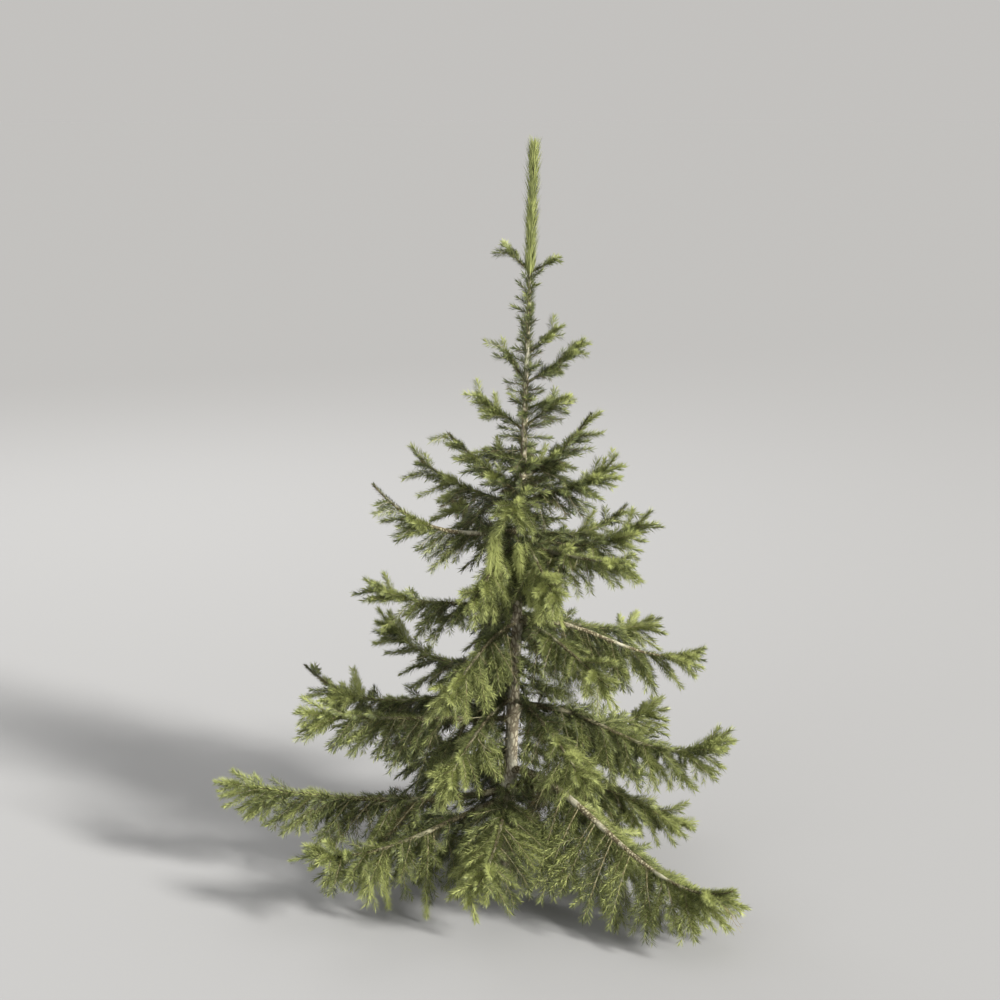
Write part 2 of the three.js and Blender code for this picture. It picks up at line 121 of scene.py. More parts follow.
@dataclass(frozen=True)
class BarkFinish:
    """Scaly bark: pale plates between dark grooves, with grey lichen and fine grain.

    Attributes:
        name: The material's name.
        pale: Colour of the plates.
        brown: Colour between the plates.
        lichen: Colour of the lichen bloom.
        scale: Plates on a metre round the stem.
        length: The same along the stem, as a share of that round it.
        patches: Scale of the lichen's noise, as a share of the plates' one.
        grain: Scale of the fine noise, in times the plates' one.
        relief: Strength of the fine bump.
        shine: Specular level.
    """

    name: str
    pale: Triple
    brown: Triple
    lichen: Triple
    scale: float
    length: float = 0.55
    patches: float = 0.16
    grain: float = 4.0
    relief: float = 0.5
    shine: float = 0.25

    def material(self) -> bpy.types.Material:
        """Make the material: plates by a Voronoi edge distance, tinted by two noises on Object coordinates.

        Returns:
            The new material.
        """
        made, shader = shader_of(self.name)
        tree = made.node_tree
        link = tree.links.new
        place = tree.nodes.new("ShaderNodeTexCoord")
        stretch = node_of(tree, "ShaderNodeMapping", Scale=(1.0, 1.0, self.length))
        plates = node_of(tree, "ShaderNodeTexVoronoi", Scale=self.scale)
        plates.feature = "DISTANCE_TO_EDGE"
        patches = node_of(tree, "ShaderNodeTexNoise", Scale=self.patches * self.scale, Detail=5.0)
        grain = node_of(tree, "ShaderNodeTexNoise", Scale=self.grain * self.scale, Detail=6.0)
        link(place.outputs["Object"], stretch.inputs["Vector"])
        for texture in (plates, patches, grain):
            link(stretch.outputs["Vector"], texture.inputs["Vector"])

        tint = [(0.0, self.brown), (0.1, self.brown), (0.24, self.pale), (1.0, self.pale)]
        bloom = [(0.0, (0.0, 0.0, 0.0)), (0.5, (0.0, 0.0, 0.0)), (0.66, (1.0, 1.0, 1.0))]
        speckle = [(0.3, (0.62, 0.62, 0.62)), (0.7, (1.15, 1.15, 1.15))]
        grooved = ramp(tree, plates.outputs["Distance"], tint)
        bloomed = mixed(tree, "MIX", ramp(tree, patches.outputs["Fac"], bloom), grooved, (*self.lichen, 1.0))
        speckled = mixed(tree, "MULTIPLY", 0.7, bloomed, ramp(tree, grain.outputs["Fac"], speckle))
        link(speckled, shader.inputs["Base Color"])

        bump = node_of(tree, "ShaderNodeBump", Strength=self.relief, Distance=0.001)
        link(grain.outputs["Fac"], bump.inputs["Height"])
        link(bump.outputs["Normal"], shader.inputs["Normal"])
        rough = node_of(tree, "ShaderNodeMapRange", **{"To Min": 0.95, "To Max": 0.72})
        link(plates.outputs["Distance"], rough.inputs["Value"])
        link(rough.outputs["Result"], shader.inputs["Roughness"])
        shader.inputs["Specular IOR Level"].default_value = self.shine
        return made


def shader_of(name: str) -> tuple[bpy.types.Material, bpy.types.ShaderNodeBsdfPrincipled]:
    """Make a material with one Principled shader.

    Args:
        name: The material's name.

    Returns:
        The material and its shader node.
    """
    made = bpy.data.materials.new(name)
    made.use_nodes = True
    return made, made.node_tree.nodes["Principled BSDF"]


def node_of(tree: bpy.types.NodeTree, kind: str, **values: float | tuple) -> bpy.types.Node:
    """Add a node to a material.

    Args:
        tree: The material's nodes.
        kind: The node's type.
        values: Values of its input sockets by their names.

    Returns:
        The node.
    """
    node = tree.nodes.new(kind)
    for name, value in values.items():
        node.inputs[name].default_value = value
    return node


def ramp(
    tree: bpy.types.NodeTree, factor: bpy.types.NodeSocket, stops: list[tuple[float, Triple]]
) -> bpy.types.NodeSocket:
    """Add a colour ramp.

    Args:
        tree: The material's nodes.
        factor: The socket that drives it.
        stops: Position and colour of each stop, in order.

    Returns:
        The socket with the ramp's colour.
    """
    node = tree.nodes.new("ShaderNodeValToRGB")
    elements = node.color_ramp.elements
    while len(elements) < len(stops):
        elements.new(0.5)
    for element, (position, colour) in zip(elements, stops):
        element.position = position
        element.color = (*colour, 1.0)
    tree.links.new(factor, node.inputs["Fac"])
    return node.outputs["Color"]


def mixed(
    tree: bpy.types.NodeTree,
    blend: str,
    factor: bpy.types.NodeSocket | float,
    first: bpy.types.NodeSocket,
    second: bpy.types.NodeSocket | tuple[float, ...],
) -> bpy.types.NodeSocket:
    """Mix two colours.

    Args:
        tree: The material's nodes.
        blend: How it mixes them, such as MIX or MULTIPLY.
        factor: Share of the second colour, a socket or a number.
        first: The first colour.
        second: The second colour, a socket or a plain colour.

    Returns:
        The socket with the mixed colour.
    """
    node = tree.nodes.new("ShaderNodeMix")
    node.data_type = "RGBA"
    node.blend_type = blend
    for index, value in ((0, factor), (6, first), (7, second)):
        if isinstance(value, bpy.types.NodeSocket):
            tree.links.new(value, node.inputs[index])
        else:
            node.inputs[index].default_value = value
    return node.outputs[2]


def unit(vectors: Array) -> Array:
    """Scale vectors to length one: each divided by the root of its summed squares.

    Args:
        vectors: Vectors along the last axis.

    Returns:
        The same directions at length one.
    """
    return vectors / np.maximum(np.linalg.norm(vectors, axis=-1, keepdims=True), 1e-12)


def square_to(vectors: Array, axis: Array) -> Array:
    """The part of vectors square to an axis: v less its share along the axis, at length one.

    Args:
        vectors: Vectors along the last axis.
        axis: Unit directions of the same shape.

    Returns:
        Unit vectors square to the axis.
    """
    return unit(vectors - axis * np.sum(vectors * axis, axis=-1, keepdims=True))


def turned(vectors: Array, axis: Array, angle: Array) -> Array:
    """Vectors turned about an axis square to them: v cos(angle) + (axis x v) sin(angle).

    Args:
        vectors: Vectors along the last axis.
        axis: Unit directions, square to the vectors.
        angle: Radians, one for each vector.

    Returns:
        The turned vectors.
    """
    return vectors * np.cos(angle)[..., None] + np.cross(axis, vectors) * np.sin(angle)[..., None]


def mesh_piece(name: str, points: Array, polygons: list[Array], smooth: bool) -> bpy.types.Object:
    """Put arrays into a mesh and its object, which sits at the origin.

    Args:
        name: The piece's name.
        points: Vertices, one a row.
        polygons: Arrays of faces, each array with faces of one size.
        smooth: Whether the faces are shaded smooth.

    Returns:
        The new object, linked to the scene.
    """
    corners = np.concatenate([faces.ravel() for faces in polygons]).astype(np.int32)
    sizes = np.concatenate([np.full(len(faces), faces.shape[1]) for faces in polygons])
    starts = np.concatenate([[0], np.cumsum(sizes)[:-1]]).astype(np.int32)
    mesh = bpy.data.meshes.new(name)
    mesh.vertices.add(len(points))
    mesh.vertices.foreach_set("co", points.astype(np.float32).ravel())
    mesh.loops.add(len(corners))
    mesh.loops.foreach_set("vertex_index", corners)
    mesh.polygons.add(len(sizes))
    mesh.polygons.foreach_set("loop_start", starts)
    mesh.polygons.foreach_set("use_smooth", np.full(len(sizes), smooth))
    mesh.update(calc_edges=True)
    return placed(name, mesh)


def placed(name: str, data: bpy.types.ID) -> bpy.types.Object:
    """Make an object at the origin and link it to the scene.

    Args:
        name: Its name.
        data: Its mesh, light or camera.

    Returns:
        The object.
    """
    made = bpy.data.objects.new(name, data)
    bpy.context.scene.collection.objects.link(made)
    return made


def dressed(piece: bpy.types.Object, finish: bpy.types.Material) -> bpy.types.Object:
    """Give a piece its material, and let it ride on the tree's one body.

    Args:
        piece: The piece.
        finish: Its material.

    Returns:
        The same piece.
    """
    piece.data.materials.append(finish)
    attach(piece, "root")
    log.info("%s: %d faces", piece.name, len(piece.data.polygons))
    return piece


def tube_rings(paths: Array, facing: Array, sides: int) -> tuple[Array, Array]:
    """Outward directions of the rings round many paths, and the angle of each ring's points.

    A ring's point at angle a lies along side cos(a) + up sin(a), where up is the facing made square to the
    path and side = up x direction.

    Args:
        paths: Points of the paths, shaped (paths, points, 3).
        facing: The upper side of each path, shaped (paths, 3).
        sides: Points of a ring.

    Returns:
        Unit directions shaped (paths, points, sides, 3), and the angles shaped (sides,).
    """
    along = unit(np.gradient(paths, axis=1))
    up = square_to(np.broadcast_to(facing[:, None, :], along.shape), along)
    side = np.cross(up, along)
    angles = 2 * math.pi * np.arange(sides) / sides
    outward = side[:, :, None, :] * np.cos(angles)[:, None] + up[:, :, None, :] * np.sin(angles)[:, None]
    return outward, angles


def tube_faces(count: int, rings: int, sides: int) -> list[Array]:
    """Faces of closed tubes whose points run ring by ring: quads between rings, and a cap on each end.

    Args:
        count: Number of tubes.
        rings: Rings of a tube.
        sides: Points of a ring.

    Returns:
        The quads and the two sets of caps, facing outward.
    """
    tube = (np.arange(count) * rings * sides)[:, None, None]
    ring = (np.arange(rings - 1) * sides)[None, :, None]
    here = np.arange(sides)[None, None, :]
    onward = (here + 1) % sides
    base = tube + ring
    quads = np.stack([base + here, base + onward, base + onward + sides, base + here + sides], axis=-1)
    first = tube[:, :, 0] + np.arange(sides)[::-1]
    last = tube[:, :, 0] + (rings - 1) * sides + np.arange(sides)
    return [quads.reshape(-1, 4), first, last]


def scales(around: Array, along: Array, count: int, seed: float, groove: float = 0.32) -> Array:
    """Bark scales: 1 on a scale's middle and 0 in the groove round it.

    The surface is cut into cells, count of them round it. Each cell holds a centre moved by a repeatable
    random share, which is the fraction left of a large multiple of a sine. The value is the distance to the
    second nearest centre less that to the nearest, over a groove's width.

    Args:
        around: Place round the stem, from 0 to 1.
        along: Place along it, in cells.
        count: Cells round the stem.
        seed: Start of the random shares.
        groove: Width of a groove, in cells.

    Returns:
        Heights from 0 to 1.
    """
    u = around * count
    v = along
    column = np.floor(u)
    row = np.floor(v)
    nearest = np.full(u.shape, 9.0)
    second = np.full(u.shape, 9.0)
    for step_u in (-1, 0, 1):
        for step_v in (-1, 0, 1):
            cell_u = column + step_u
            cell_v = row + step_v
            key = np.mod(cell_u, count) * 12.9898 + cell_v * 78.233 + seed
            share_u = np.mod(np.sin(key) * 43758.5453, 1.0)
            share_v = np.mod(np.sin(key + 4.1) * 24634.6345, 1.0)
            far = np.hypot(cell_u + 0.15 + 0.7 * share_u - u, cell_v + 0.15 + 0.7 * share_v - v)
            second = np.minimum(second, np.maximum(nearest, far))
            nearest = np.minimum(nearest, far)
    return np.clip((second - nearest) / groove, 0.0, 1.0)


@dataclass(frozen=True)
class Trunk:
    """The stem: a tapering, slightly leaning axis with a lobed root flare.

    Attributes:
        height: Ground to the highest needle tip.
        wood_top: Tip of the wood.
        lean: Sideways travel of the axis over the whole height.
        lean_power: Below one, so that the foot leans most.
        foot_radius: Radius where the root flare has died out.
        tip_radius: Radius at the tip.
        taper_power: How the radius falls with height.
        flare: How far the root flare stands out at the ground.
        flare_height: Height over which it fades by a factor e.
        flare_lobes: Lobes round the foot.
        flare_lobe_share: Depth of the lobes as a share of the flare.
        rings: Level rings of the bark's mesh.
        crowding: Above one, so that the rings lie closer towards the foot.
        sides: Points of a ring.
        scale_height: Height of a bark scale.
        scales_around: Bark scales round the stem.
        relief: Depth of the grooves at the foot.
        raised: Share of the relief by which the grooves lie below the plain stem.
        swell: Height of the long swells of the foot.
        swell_pace: Radians of their wave for each metre of height.
        ripple: Height of the short swells.
        ripple_pace: Radians of their wave for each metre of height.
        collar: How far the bark swells where a large bough leaves.
        collar_reach: Reach from which a bough counts as large here.
        collar_width: Half width of a collar, in times the bough's radius.
        collar_height: Half height of a collar, in times its half width.
    """

    height: float = 2.2
    wood_top: float = 2.16
    lean: float = 0.087
    lean_power: float = 0.75
    foot_radius: float = 0.023
    tip_radius: float = 0.0022
    taper_power: float = 1.15
    flare: float = 0.009
    flare_height: float = 0.045
    flare_lobes: int = 5
    flare_lobe_share: float = 0.28
    rings: int = 760
    crowding: float = 1.04
    sides: int = 72
    scale_height: float = 0.011
    scales_around: int = 15
    relief: float = 0.0011
    raised: float = 0.7
    swell: float = 0.0009
    swell_pace: float = 31.0
    ripple: float = 0.0003
    ripple_pace: float = 83.0
    collar: float = 0.005
    collar_reach: float = 0.6
    collar_width: float = 1.25
    collar_height: float = 1.5

    def axis(self, z: Array) -> Array:
        """The axis: x grows with the height's share to the lean's power.

        Args:
            z: Heights.

        Returns:
            Points of the axis.
        """
        z = np.asarray(z, dtype=float)
        x = self.lean * (np.maximum(z, 0.0) / self.height) ** self.lean_power
        return np.stack([x, np.zeros_like(x), z], axis=-1)

    def radius(self, z: Array) -> Array:
        """The radius without the flare: from foot to tip with the taper's power of what is left above.

        Args:
            z: Heights.

        Returns:
            Radii.
        """
        left = np.clip(1 - np.asarray(z, dtype=float) / self.wood_top, 0.0, 1.0)
        return self.tip_radius + (self.foot_radius - self.tip_radius) * left**self.taper_power

    def build(self, boughs: list[Bough], finish: bpy.types.Material) -> bpy.types.Object:
        """Build the bark: level rings round the axis, with flare, scales, swells and branch collars.

        The swells are two waves of height and angle, and a collar is a bell curve of both. Scales and swells
        shrink with the stem's radius.

        Args:
            boughs: The boughs, which the collars swell round.
            finish: The bark's material.

        Returns:
            The trunk's piece.
        """
        z, angle = np.meshgrid(
            self.wood_top * np.linspace(0, 1, self.rings) ** self.crowding,
            2 * math.pi * np.arange(self.sides) / self.sides,
            indexing="ij",
        )
        lobes = 1 + self.flare_lobe_share * np.cos(self.flare_lobes * angle)
        flare = self.flare * np.exp(-z / self.flare_height) * lobes
        bare = self.radius(z)
        strength = bare / self.foot_radius
        plates = scales(angle / (2 * math.pi), z / self.scale_height, self.scales_around, 3.7)
        long_wave = np.sin(self.swell_pace * z + 2.0 * np.sin(angle)) * np.cos(2 * angle + 11 * z)
        swell = long_wave * self.swell + np.sin(self.ripple_pace * z + 3 * angle) * self.ripple
        collars = np.zeros_like(z)
        for bough in boughs:
            apart = np.angle(np.exp(1j * (angle - math.radians(bough.azimuth)))) * bare
            wide = self.collar_width * bough.radius(np.array(0.0)) + 0.001
            high = self.collar_height * wide
            size = self.collar * min(1.0, bough.reach / self.collar_reach)
            collars += size * np.exp(-((apart / wide) ** 2) - ((z - bough.height) / high) ** 2)
        whole = bare + flare + collars + (swell + self.relief * (plates - self.raised)) * strength
        axis = self.axis(z)
        points = axis + np.stack([whole * np.cos(angle), whole * np.sin(angle), 0 * z], axis=-1)
        faces = tube_faces(1, self.rings, self.sides)
        piece = mesh_piece("trunk_bark", points.reshape(-1, 3), faces, smooth=True)
        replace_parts(dressed(piece, finish), "trunk")
        return piece


@dataclass(frozen=True)
class LimbWood:
    """How thick the boughs are.

    Attributes:
        root: Radius at the root, less what goes with the reach.
        per_reach: What the reach adds to it for each metre.
        thicker: How many times as thick the root of the one thick limb is.
        tip: Radius at the tip.
        power: How the radius falls along the bough.
    """

    root: float = 0.0020
    per_reach: float = 0.011
    thicker: float = 1.4
    tip: float = 0.0013
    power: float = 0.8


@dataclass(frozen=True)
class Bough:
    """One bough, from the trunk's axis to its tip.

    Attributes:
        name: Its name, as in the solids.
        height: Where it leaves the trunk's axis.
        azimuth: Its direction.
        reach: Its horizontal run.
        climb: Its height along the way, as shares of the reach that go with t, t^2 and t^3.
        bend: Its sideways swing with t^2, as a share of the reach.
        spread: Length of its longest side shoots.
        hang: How many degrees they droop below the bough.
        bare: Share of the reach that is bare of foliage.
    """

    name: str
    height: float
    azimuth: float
    reach: float
    climb: Triple
    bend: float
    spread: float
    hang: float
    bare: float

    def point(self, t: Array) -> Array:
        """The centreline: outward with t, sideways with t^2, and up with the climb's cubic.

        Args:
            t: Shares of the way to the tip.

        Returns:
            Points, one for each share.
        """
        t = np.asarray(t, dtype=float)[..., None]
        turn = math.radians(self.azimuth)
        outward = np.array([math.cos(turn), math.sin(turn), 0.0])
        sideways = np.cross(UP, outward)
        rise = self.climb[0] * t + self.climb[1] * t**2 + self.climb[2] * t**3
        return TRUNK.axis(self.height) + self.reach * (outward * t + sideways * self.bend * t**2 + UP * rise)

    @property
    def clear(self) -> bool:
        """Whether the limb's upper side is free of shoots and its wood in sight."""
        return self.name in CLEAR_LIMBS

    @property
    def thin_end(self) -> float:
        """Length of the thin outer end with short needles and no fan round it, or nothing."""
        return THIN_END if self.name in THIN_ENDED else 0.0

    @property
    def vigour(self) -> float:
        """From 0 to 1, by how long its side shoots are."""
        return min(1.0, self.spread / FULL_SPREAD)

    def radius(self, t: Array) -> Array:
        """The wood's radius: root radius by reach, falling to a fine tip with a power of what is left.

        Args:
            t: Shares of the way to the tip.

        Returns:
            Radii.
        """
        root = WOOD.root + WOOD.per_reach * self.reach
        if self.name == THICK_LIMB:
            root *= WOOD.thicker
        left = np.maximum(1 - np.asarray(t, dtype=float), 0.0)
        return WOOD.tip + (root - WOOD.tip) * left**WOOD.power

    def directions(self, t: Array) -> tuple[Array, Array, Array]:
        """Forward, sideways and upward directions at shares of the way.

        Args:
            t: Shares of the way to the tip.

        Returns:
            Three arrays of unit vectors.
        """
        forward = unit(self.point(t + 0.01) - self.point(t - 0.01))
        side = unit(np.cross(UP, forward))
        return forward, side, np.cross(forward, side)


class Seeded:
    """The solids' own random numbers, one run for each bough: state times 48271, modulo 2^31 - 1."""

    FACTOR = 48271
    MODULUS = 2**31 - 1

    def __init__(self, index: int) -> None:
        """Start the run.

        Args:
            index: The bough's place in the table.
        """
        self.state = 101 + 7919 * index

    def draw(self, rows: int, columns: int) -> Array:
        """Draw a block of numbers between 0 and 1, row by row.

        Args:
            rows: Rows of the block.
            columns: Columns of the block.

        Returns:
            The numbers.
        """
        numbers = []
        for _ in range(rows * columns):
            self.state = (self.state * self.FACTOR) % self.MODULUS
            numbers.append(self.state / self.MODULUS)
        return np.array(numbers).reshape(rows, columns)


@dataclass
class Shoots:
    """Many thin shoots as arrays, one row for each.

    Attributes:
        path: Points from root to tip, shaped (shoots, points, 3).
        facing: The upper side of each shoot.
        length: Its length.
        root_radius: Radius of its wood at the root.
        light: From 0, old and shaded, to 1, fresh and in the light.
        comb: How far its needles are combed to its upper side, from 0 to 1.
    """

    path: Array
    facing: Array
    length: Array
    root_radius: Array
    light: Array
    comb: Array

    def __len__(self) -> int:
        """Number of shoots."""
        return len(self.path)

    def at(self, owner: Array, s: Array) -> tuple[Array, Array, Array, Array]:
        """Place and directions on shoots, straight between a path's points.

        Args:
            owner: Which shoot each query is on.
            s: Share of the way along it.

        Returns:
            Points, and unit vectors forward, upward and sideways.
        """
        last = self.path.shape[1] - 1
        place = np.clip(s, 0.0, 1.0) * last
        index = np.minimum(place.astype(int), last - 1)
        before = self.path[owner, index]
        after = self.path[owner, index + 1]
        point = before + (after - before) * (place - index)[:, None]
        forward = unit(after - before)
        up = square_to(self.facing[owner], forward)
        return point, forward, up, np.cross(up, forward)

    def chosen(self, keep: Array) -> Shoots:
        """The shoots that a mask or index picks."""
        return Shoots(*(getattr(self, name)[keep] for name in self.__dataclass_fields__))


@dataclass(frozen=True)
class ShootKind:
    """What the shoots of one kind share.

    Attributes:
        thin: Radius of the wood at the root of a very short shoot.
        stout: What a metre of length would add to it.
        comb: How far its needles are combed to its upper side, from 0 to 1.
        points: Points of its path.
    """

    thin: float
    stout: float
    comb: float
    points: int = 8

    def shoots(
        self,
        root: Array,
        direction: Array,
        facing: Array,
        length: Array,
        droop: Array,
        curl: Array,
        light: Array,
    ) -> Shoots:
        """Make shoots: straight out with s, down with s^2, up again with s^3, and sideways with s^2.

        Args:
            root: Where each shoot starts.
            direction: Its first direction.
            facing: Its upper side.
            length: Its length.
            droop: How far it sinks, as a share of its length.
            curl: How far it swings sideways, as a share of its length.
            light: Its light.

        Returns:
            The shoots.
        """
        s = np.linspace(0, 1, self.points)[None, :, None]
        side = np.cross(facing, direction)[:, None, :]
        sink = droop[:, None, None] * (0.8 * s**3 - 1.8 * s**2)
        swing = curl[:, None, None] * s**2
        shape = direction[:, None, :] * s + UP * sink + side * swing
        path = root[:, None, :] + length[:, None, None] * shape
        wood = self.thin + self.stout * length
        return Shoots(path, facing, length, wood, light, np.full(len(length), self.comb))


def dealt(counts: Array) -> tuple[Array, Array]:
    """Deal out items to owners.

    Args:
        counts: How many items each owner gets.

    Returns:
        The owner of each item, and the item's rank among that owner's.
    """
    owner = np.repeat(np.arange(len(counts)), counts)
    return owner, np.arange(len(owner)) - np.repeat(np.cumsum(counts) - counts, counts)


def joined(parts: list[Shoots]) -> Shoots:
    """Join sets of shoots whose paths have the same number of points.

    Args:
        parts: The sets.

    Returns:
        One set.
    """
    names = Shoots.__dataclass_fields__
    return Shoots(*(np.concatenate([getattr(part, name) for part in parts]) for name in names))


@dataclass(frozen=True)
class SideShoots:
    """The side shoots of the boughs, by the solids' seeded rule, with weaker ones between them.

    Attributes:
        pitch: Distance of shoots on one side of a long bough.
        pitch_short: The same on a bough shorter than short_reach.
        short_reach: Reach from which a bough counts as long.
        first_from_bark: Distance of the first shoot from the trunk's bark.
        first_from_bare: The same from a bare stretch, as a share of the reach.
        last: Share of the reach where the last shoot stands.
        inner_angle: Angle between bough and shoot near the trunk.
        outer_angle: The same near the tip.
        shortening: How much shorter the last shoots are.
        shingle: Turn of a shoot about its own length.
        jitter_angle: Random part of the angles.
        jitter_length: Random share of the length.
        shortest: Shoots below this length are left out.
        weak_places: Where the weak shoots stand on the way from one strong one to the next.
        weak_angle: Spread of their angle to the bough.
        weak_hang: Range of what they hang lower, on a covered bough and on a clear one.
        weak_length: Range of their length, as a share of the strong ones'.
        weak_least: The shortest weak shoot.
        missing: Share of them left out at a bough's root, and what that gains to the tip.
        small_pitch: Distance of the small shoots all round the bough.
        small_angle: Range of their angle to the bough.
        small_hang: Range of their hang, on a covered bough and on a clear one.
        small_length: Range of their length on a strong bough.
        droop: Range of the share of its length by which a shoot sinks.
        droop_length: Length from which it sinks in full.
        curl: Largest share of its length by which it swings towards the bough's tip.
        light: Light at a bough's root, what it gains to the tip, and its spread.
        sunny: How much lighter a bough on the tree's sunny side is.
        sunny_azimuth: The sunny side.
        kind: What the shoots share.
    """

    pitch: float = 0.066
    pitch_short: float = 0.040
    short_reach: float = 0.3
    first_from_bark: float = 0.026
    first_from_bare: float = 0.015
    last: float = 0.86
    inner_angle: float = 72.0
    outer_angle: float = 40.0
    shortening: float = 0.58
    shingle: float = 24.0
    jitter_angle: float = 10.0
    jitter_length: float = 0.14
    shortest: float = 0.014
    weak_places: Pair = (0.35, 0.7)
    weak_angle: float = 8.0
    weak_hang: tuple[Pair, Pair] = ((-44.0, 34.0), (-6.0, 34.0))
    weak_length: Pair = (0.4, 0.95)
    weak_least: float = 0.03
    missing: Pair = (-0.2, 0.7)
    small_pitch: float = 0.030
    small_angle: Pair = (38.0, 66.0)
    small_hang: tuple[Pair, Pair] = ((-65.0, 80.0), (20.0, 80.0))
    small_length: Pair = (0.03, 0.085)
    droop: Pair = (0.05, 0.28)
    droop_length: float = 0.12
    curl: float = 0.16
    light: Triple = (0.19, 0.52, 0.12)
    sunny: float = 0.13
    sunny_azimuth: float = 285.0
    kind: ShootKind = ShootKind(0.0006, 0.0075, 0.55)

    def grow(self, bough: Bough, index: int, rng: np.random.Generator) -> Shoots:
        """Grow a bough's side shoots: the solids' ones, weaker ones between them, and small ones all round.

        Args:
            bough: The bough.
            index: Its place in the table, which seeds the rule.
            rng: Random numbers for what the solids don't have.

        Returns:
            The shoots.
        """
        clear = (float(TRUNK.radius(bough.height)) + self.first_from_bark) / bough.reach
        first = max(bough.bare + self.first_from_bare, min(clear, self.last / 2))
        pitch = self.pitch if bough.reach > self.short_reach else self.pitch_short
        count = 2 * max(1, round((self.last - first) * bough.reach / pitch))
        jitter = 2 * Seeded(index).draw(count, 3) - 1
        rank = np.arange(count)
        t = first + (rank + 0.3) / count * (self.last - first)
        hand = np.where(rank % 2 == 1, 1.0, -1.0)
        opening = (self.outer_angle - self.inner_angle) * t
        angle = self.inner_angle + opening + self.jitter_angle * jitter[:, 0]
        hang = bough.hang + self.jitter_angle * jitter[:, 1]
        length = bough.spread * (1 - self.shortening * t**1.5) * (1 + self.jitter_length * jitter[:, 2])
        strong = self.shoots(bough, t, hand, angle, hang, length, rng)

        between = np.concatenate([t + share * (self.last - first) / count for share in self.weak_places])
        weak = self.shoots(
            bough,
            between,
            np.tile(-hand, 2),
            np.tile(angle, 2) + rng.normal(0, self.weak_angle, 2 * count),
            np.tile(hang, 2) + rng.uniform(*self.weak_hang[bough.clear], 2 * count),
            np.maximum(np.tile(length, 2) * rng.uniform(*self.weak_length, 2 * count), self.weak_least),
            rng,
        )
        missing = self.missing[1] * between + self.missing[0]
        weak = weak.chosen(rng.uniform(0, 1, 2 * count) > missing)
        small = max(2, int(bough.reach / self.small_pitch))
        around = self.shoots(
            bough,
            rng.uniform(bough.bare * 0.3 if bough.bare > 0 else clear, 0.94, small),
            rng.choice([-1.0, 1.0], small),
            rng.uniform(*self.small_angle, small),
            rng.uniform(*self.small_hang[bough.clear], small),
            rng.uniform(*self.small_length, small) * (0.5 + 0.5 * bough.vigour),
            rng,
        )
        every = joined([strong, weak, around])
        return every.chosen(every.length > self.shortest)

    def shoots(
        self,
        bough: Bough,
        t: Array,
        hand: Array,
        angle: Array,
        hang: Array,
        length: Array,
        rng: np.random.Generator,
    ) -> Shoots:
        """Place side shoots: off the bough by their angle, and down by their hang, like shingles.

        Args:
            bough: The bough.
            t: Share of the bough's way where each starts.
            hand: 1 for the left side of the bough, -1 for the right.
            angle: Degrees between bough and shoot.
            hang: Degrees that the shoot droops.
            length: Its length.
            rng: Random numbers for its curve and light.

        Returns:
            The shoots.
        """
        forward, side, up = bough.directions(t)
        lean = np.radians(hang)[:, None]
        across = side * hand[:, None] * np.cos(lean) - up * np.sin(lean)
        turn = np.radians(angle)[:, None]
        along = unit(forward * np.cos(turn) + across * np.sin(turn))
        facing = square_to(np.cross(across, forward) * -hand[:, None], along)
        facing = turned(facing, along, hand * math.radians(self.shingle))
        count = len(t)
        droop = rng.uniform(*self.droop, count) * np.clip(length / self.droop_length, 0.3, 1.0)
        curl = -hand * rng.uniform(0.0, self.curl, count)
        at_root, gain, spread = self.light
        sunny = self.sunny * math.cos(math.radians(bough.azimuth - self.sunny_azimuth))
        light = at_root + gain * t + sunny + rng.normal(0, spread, count)
        return self.kind.shoots(bough.point(t), along, facing, length, droop, curl, light)


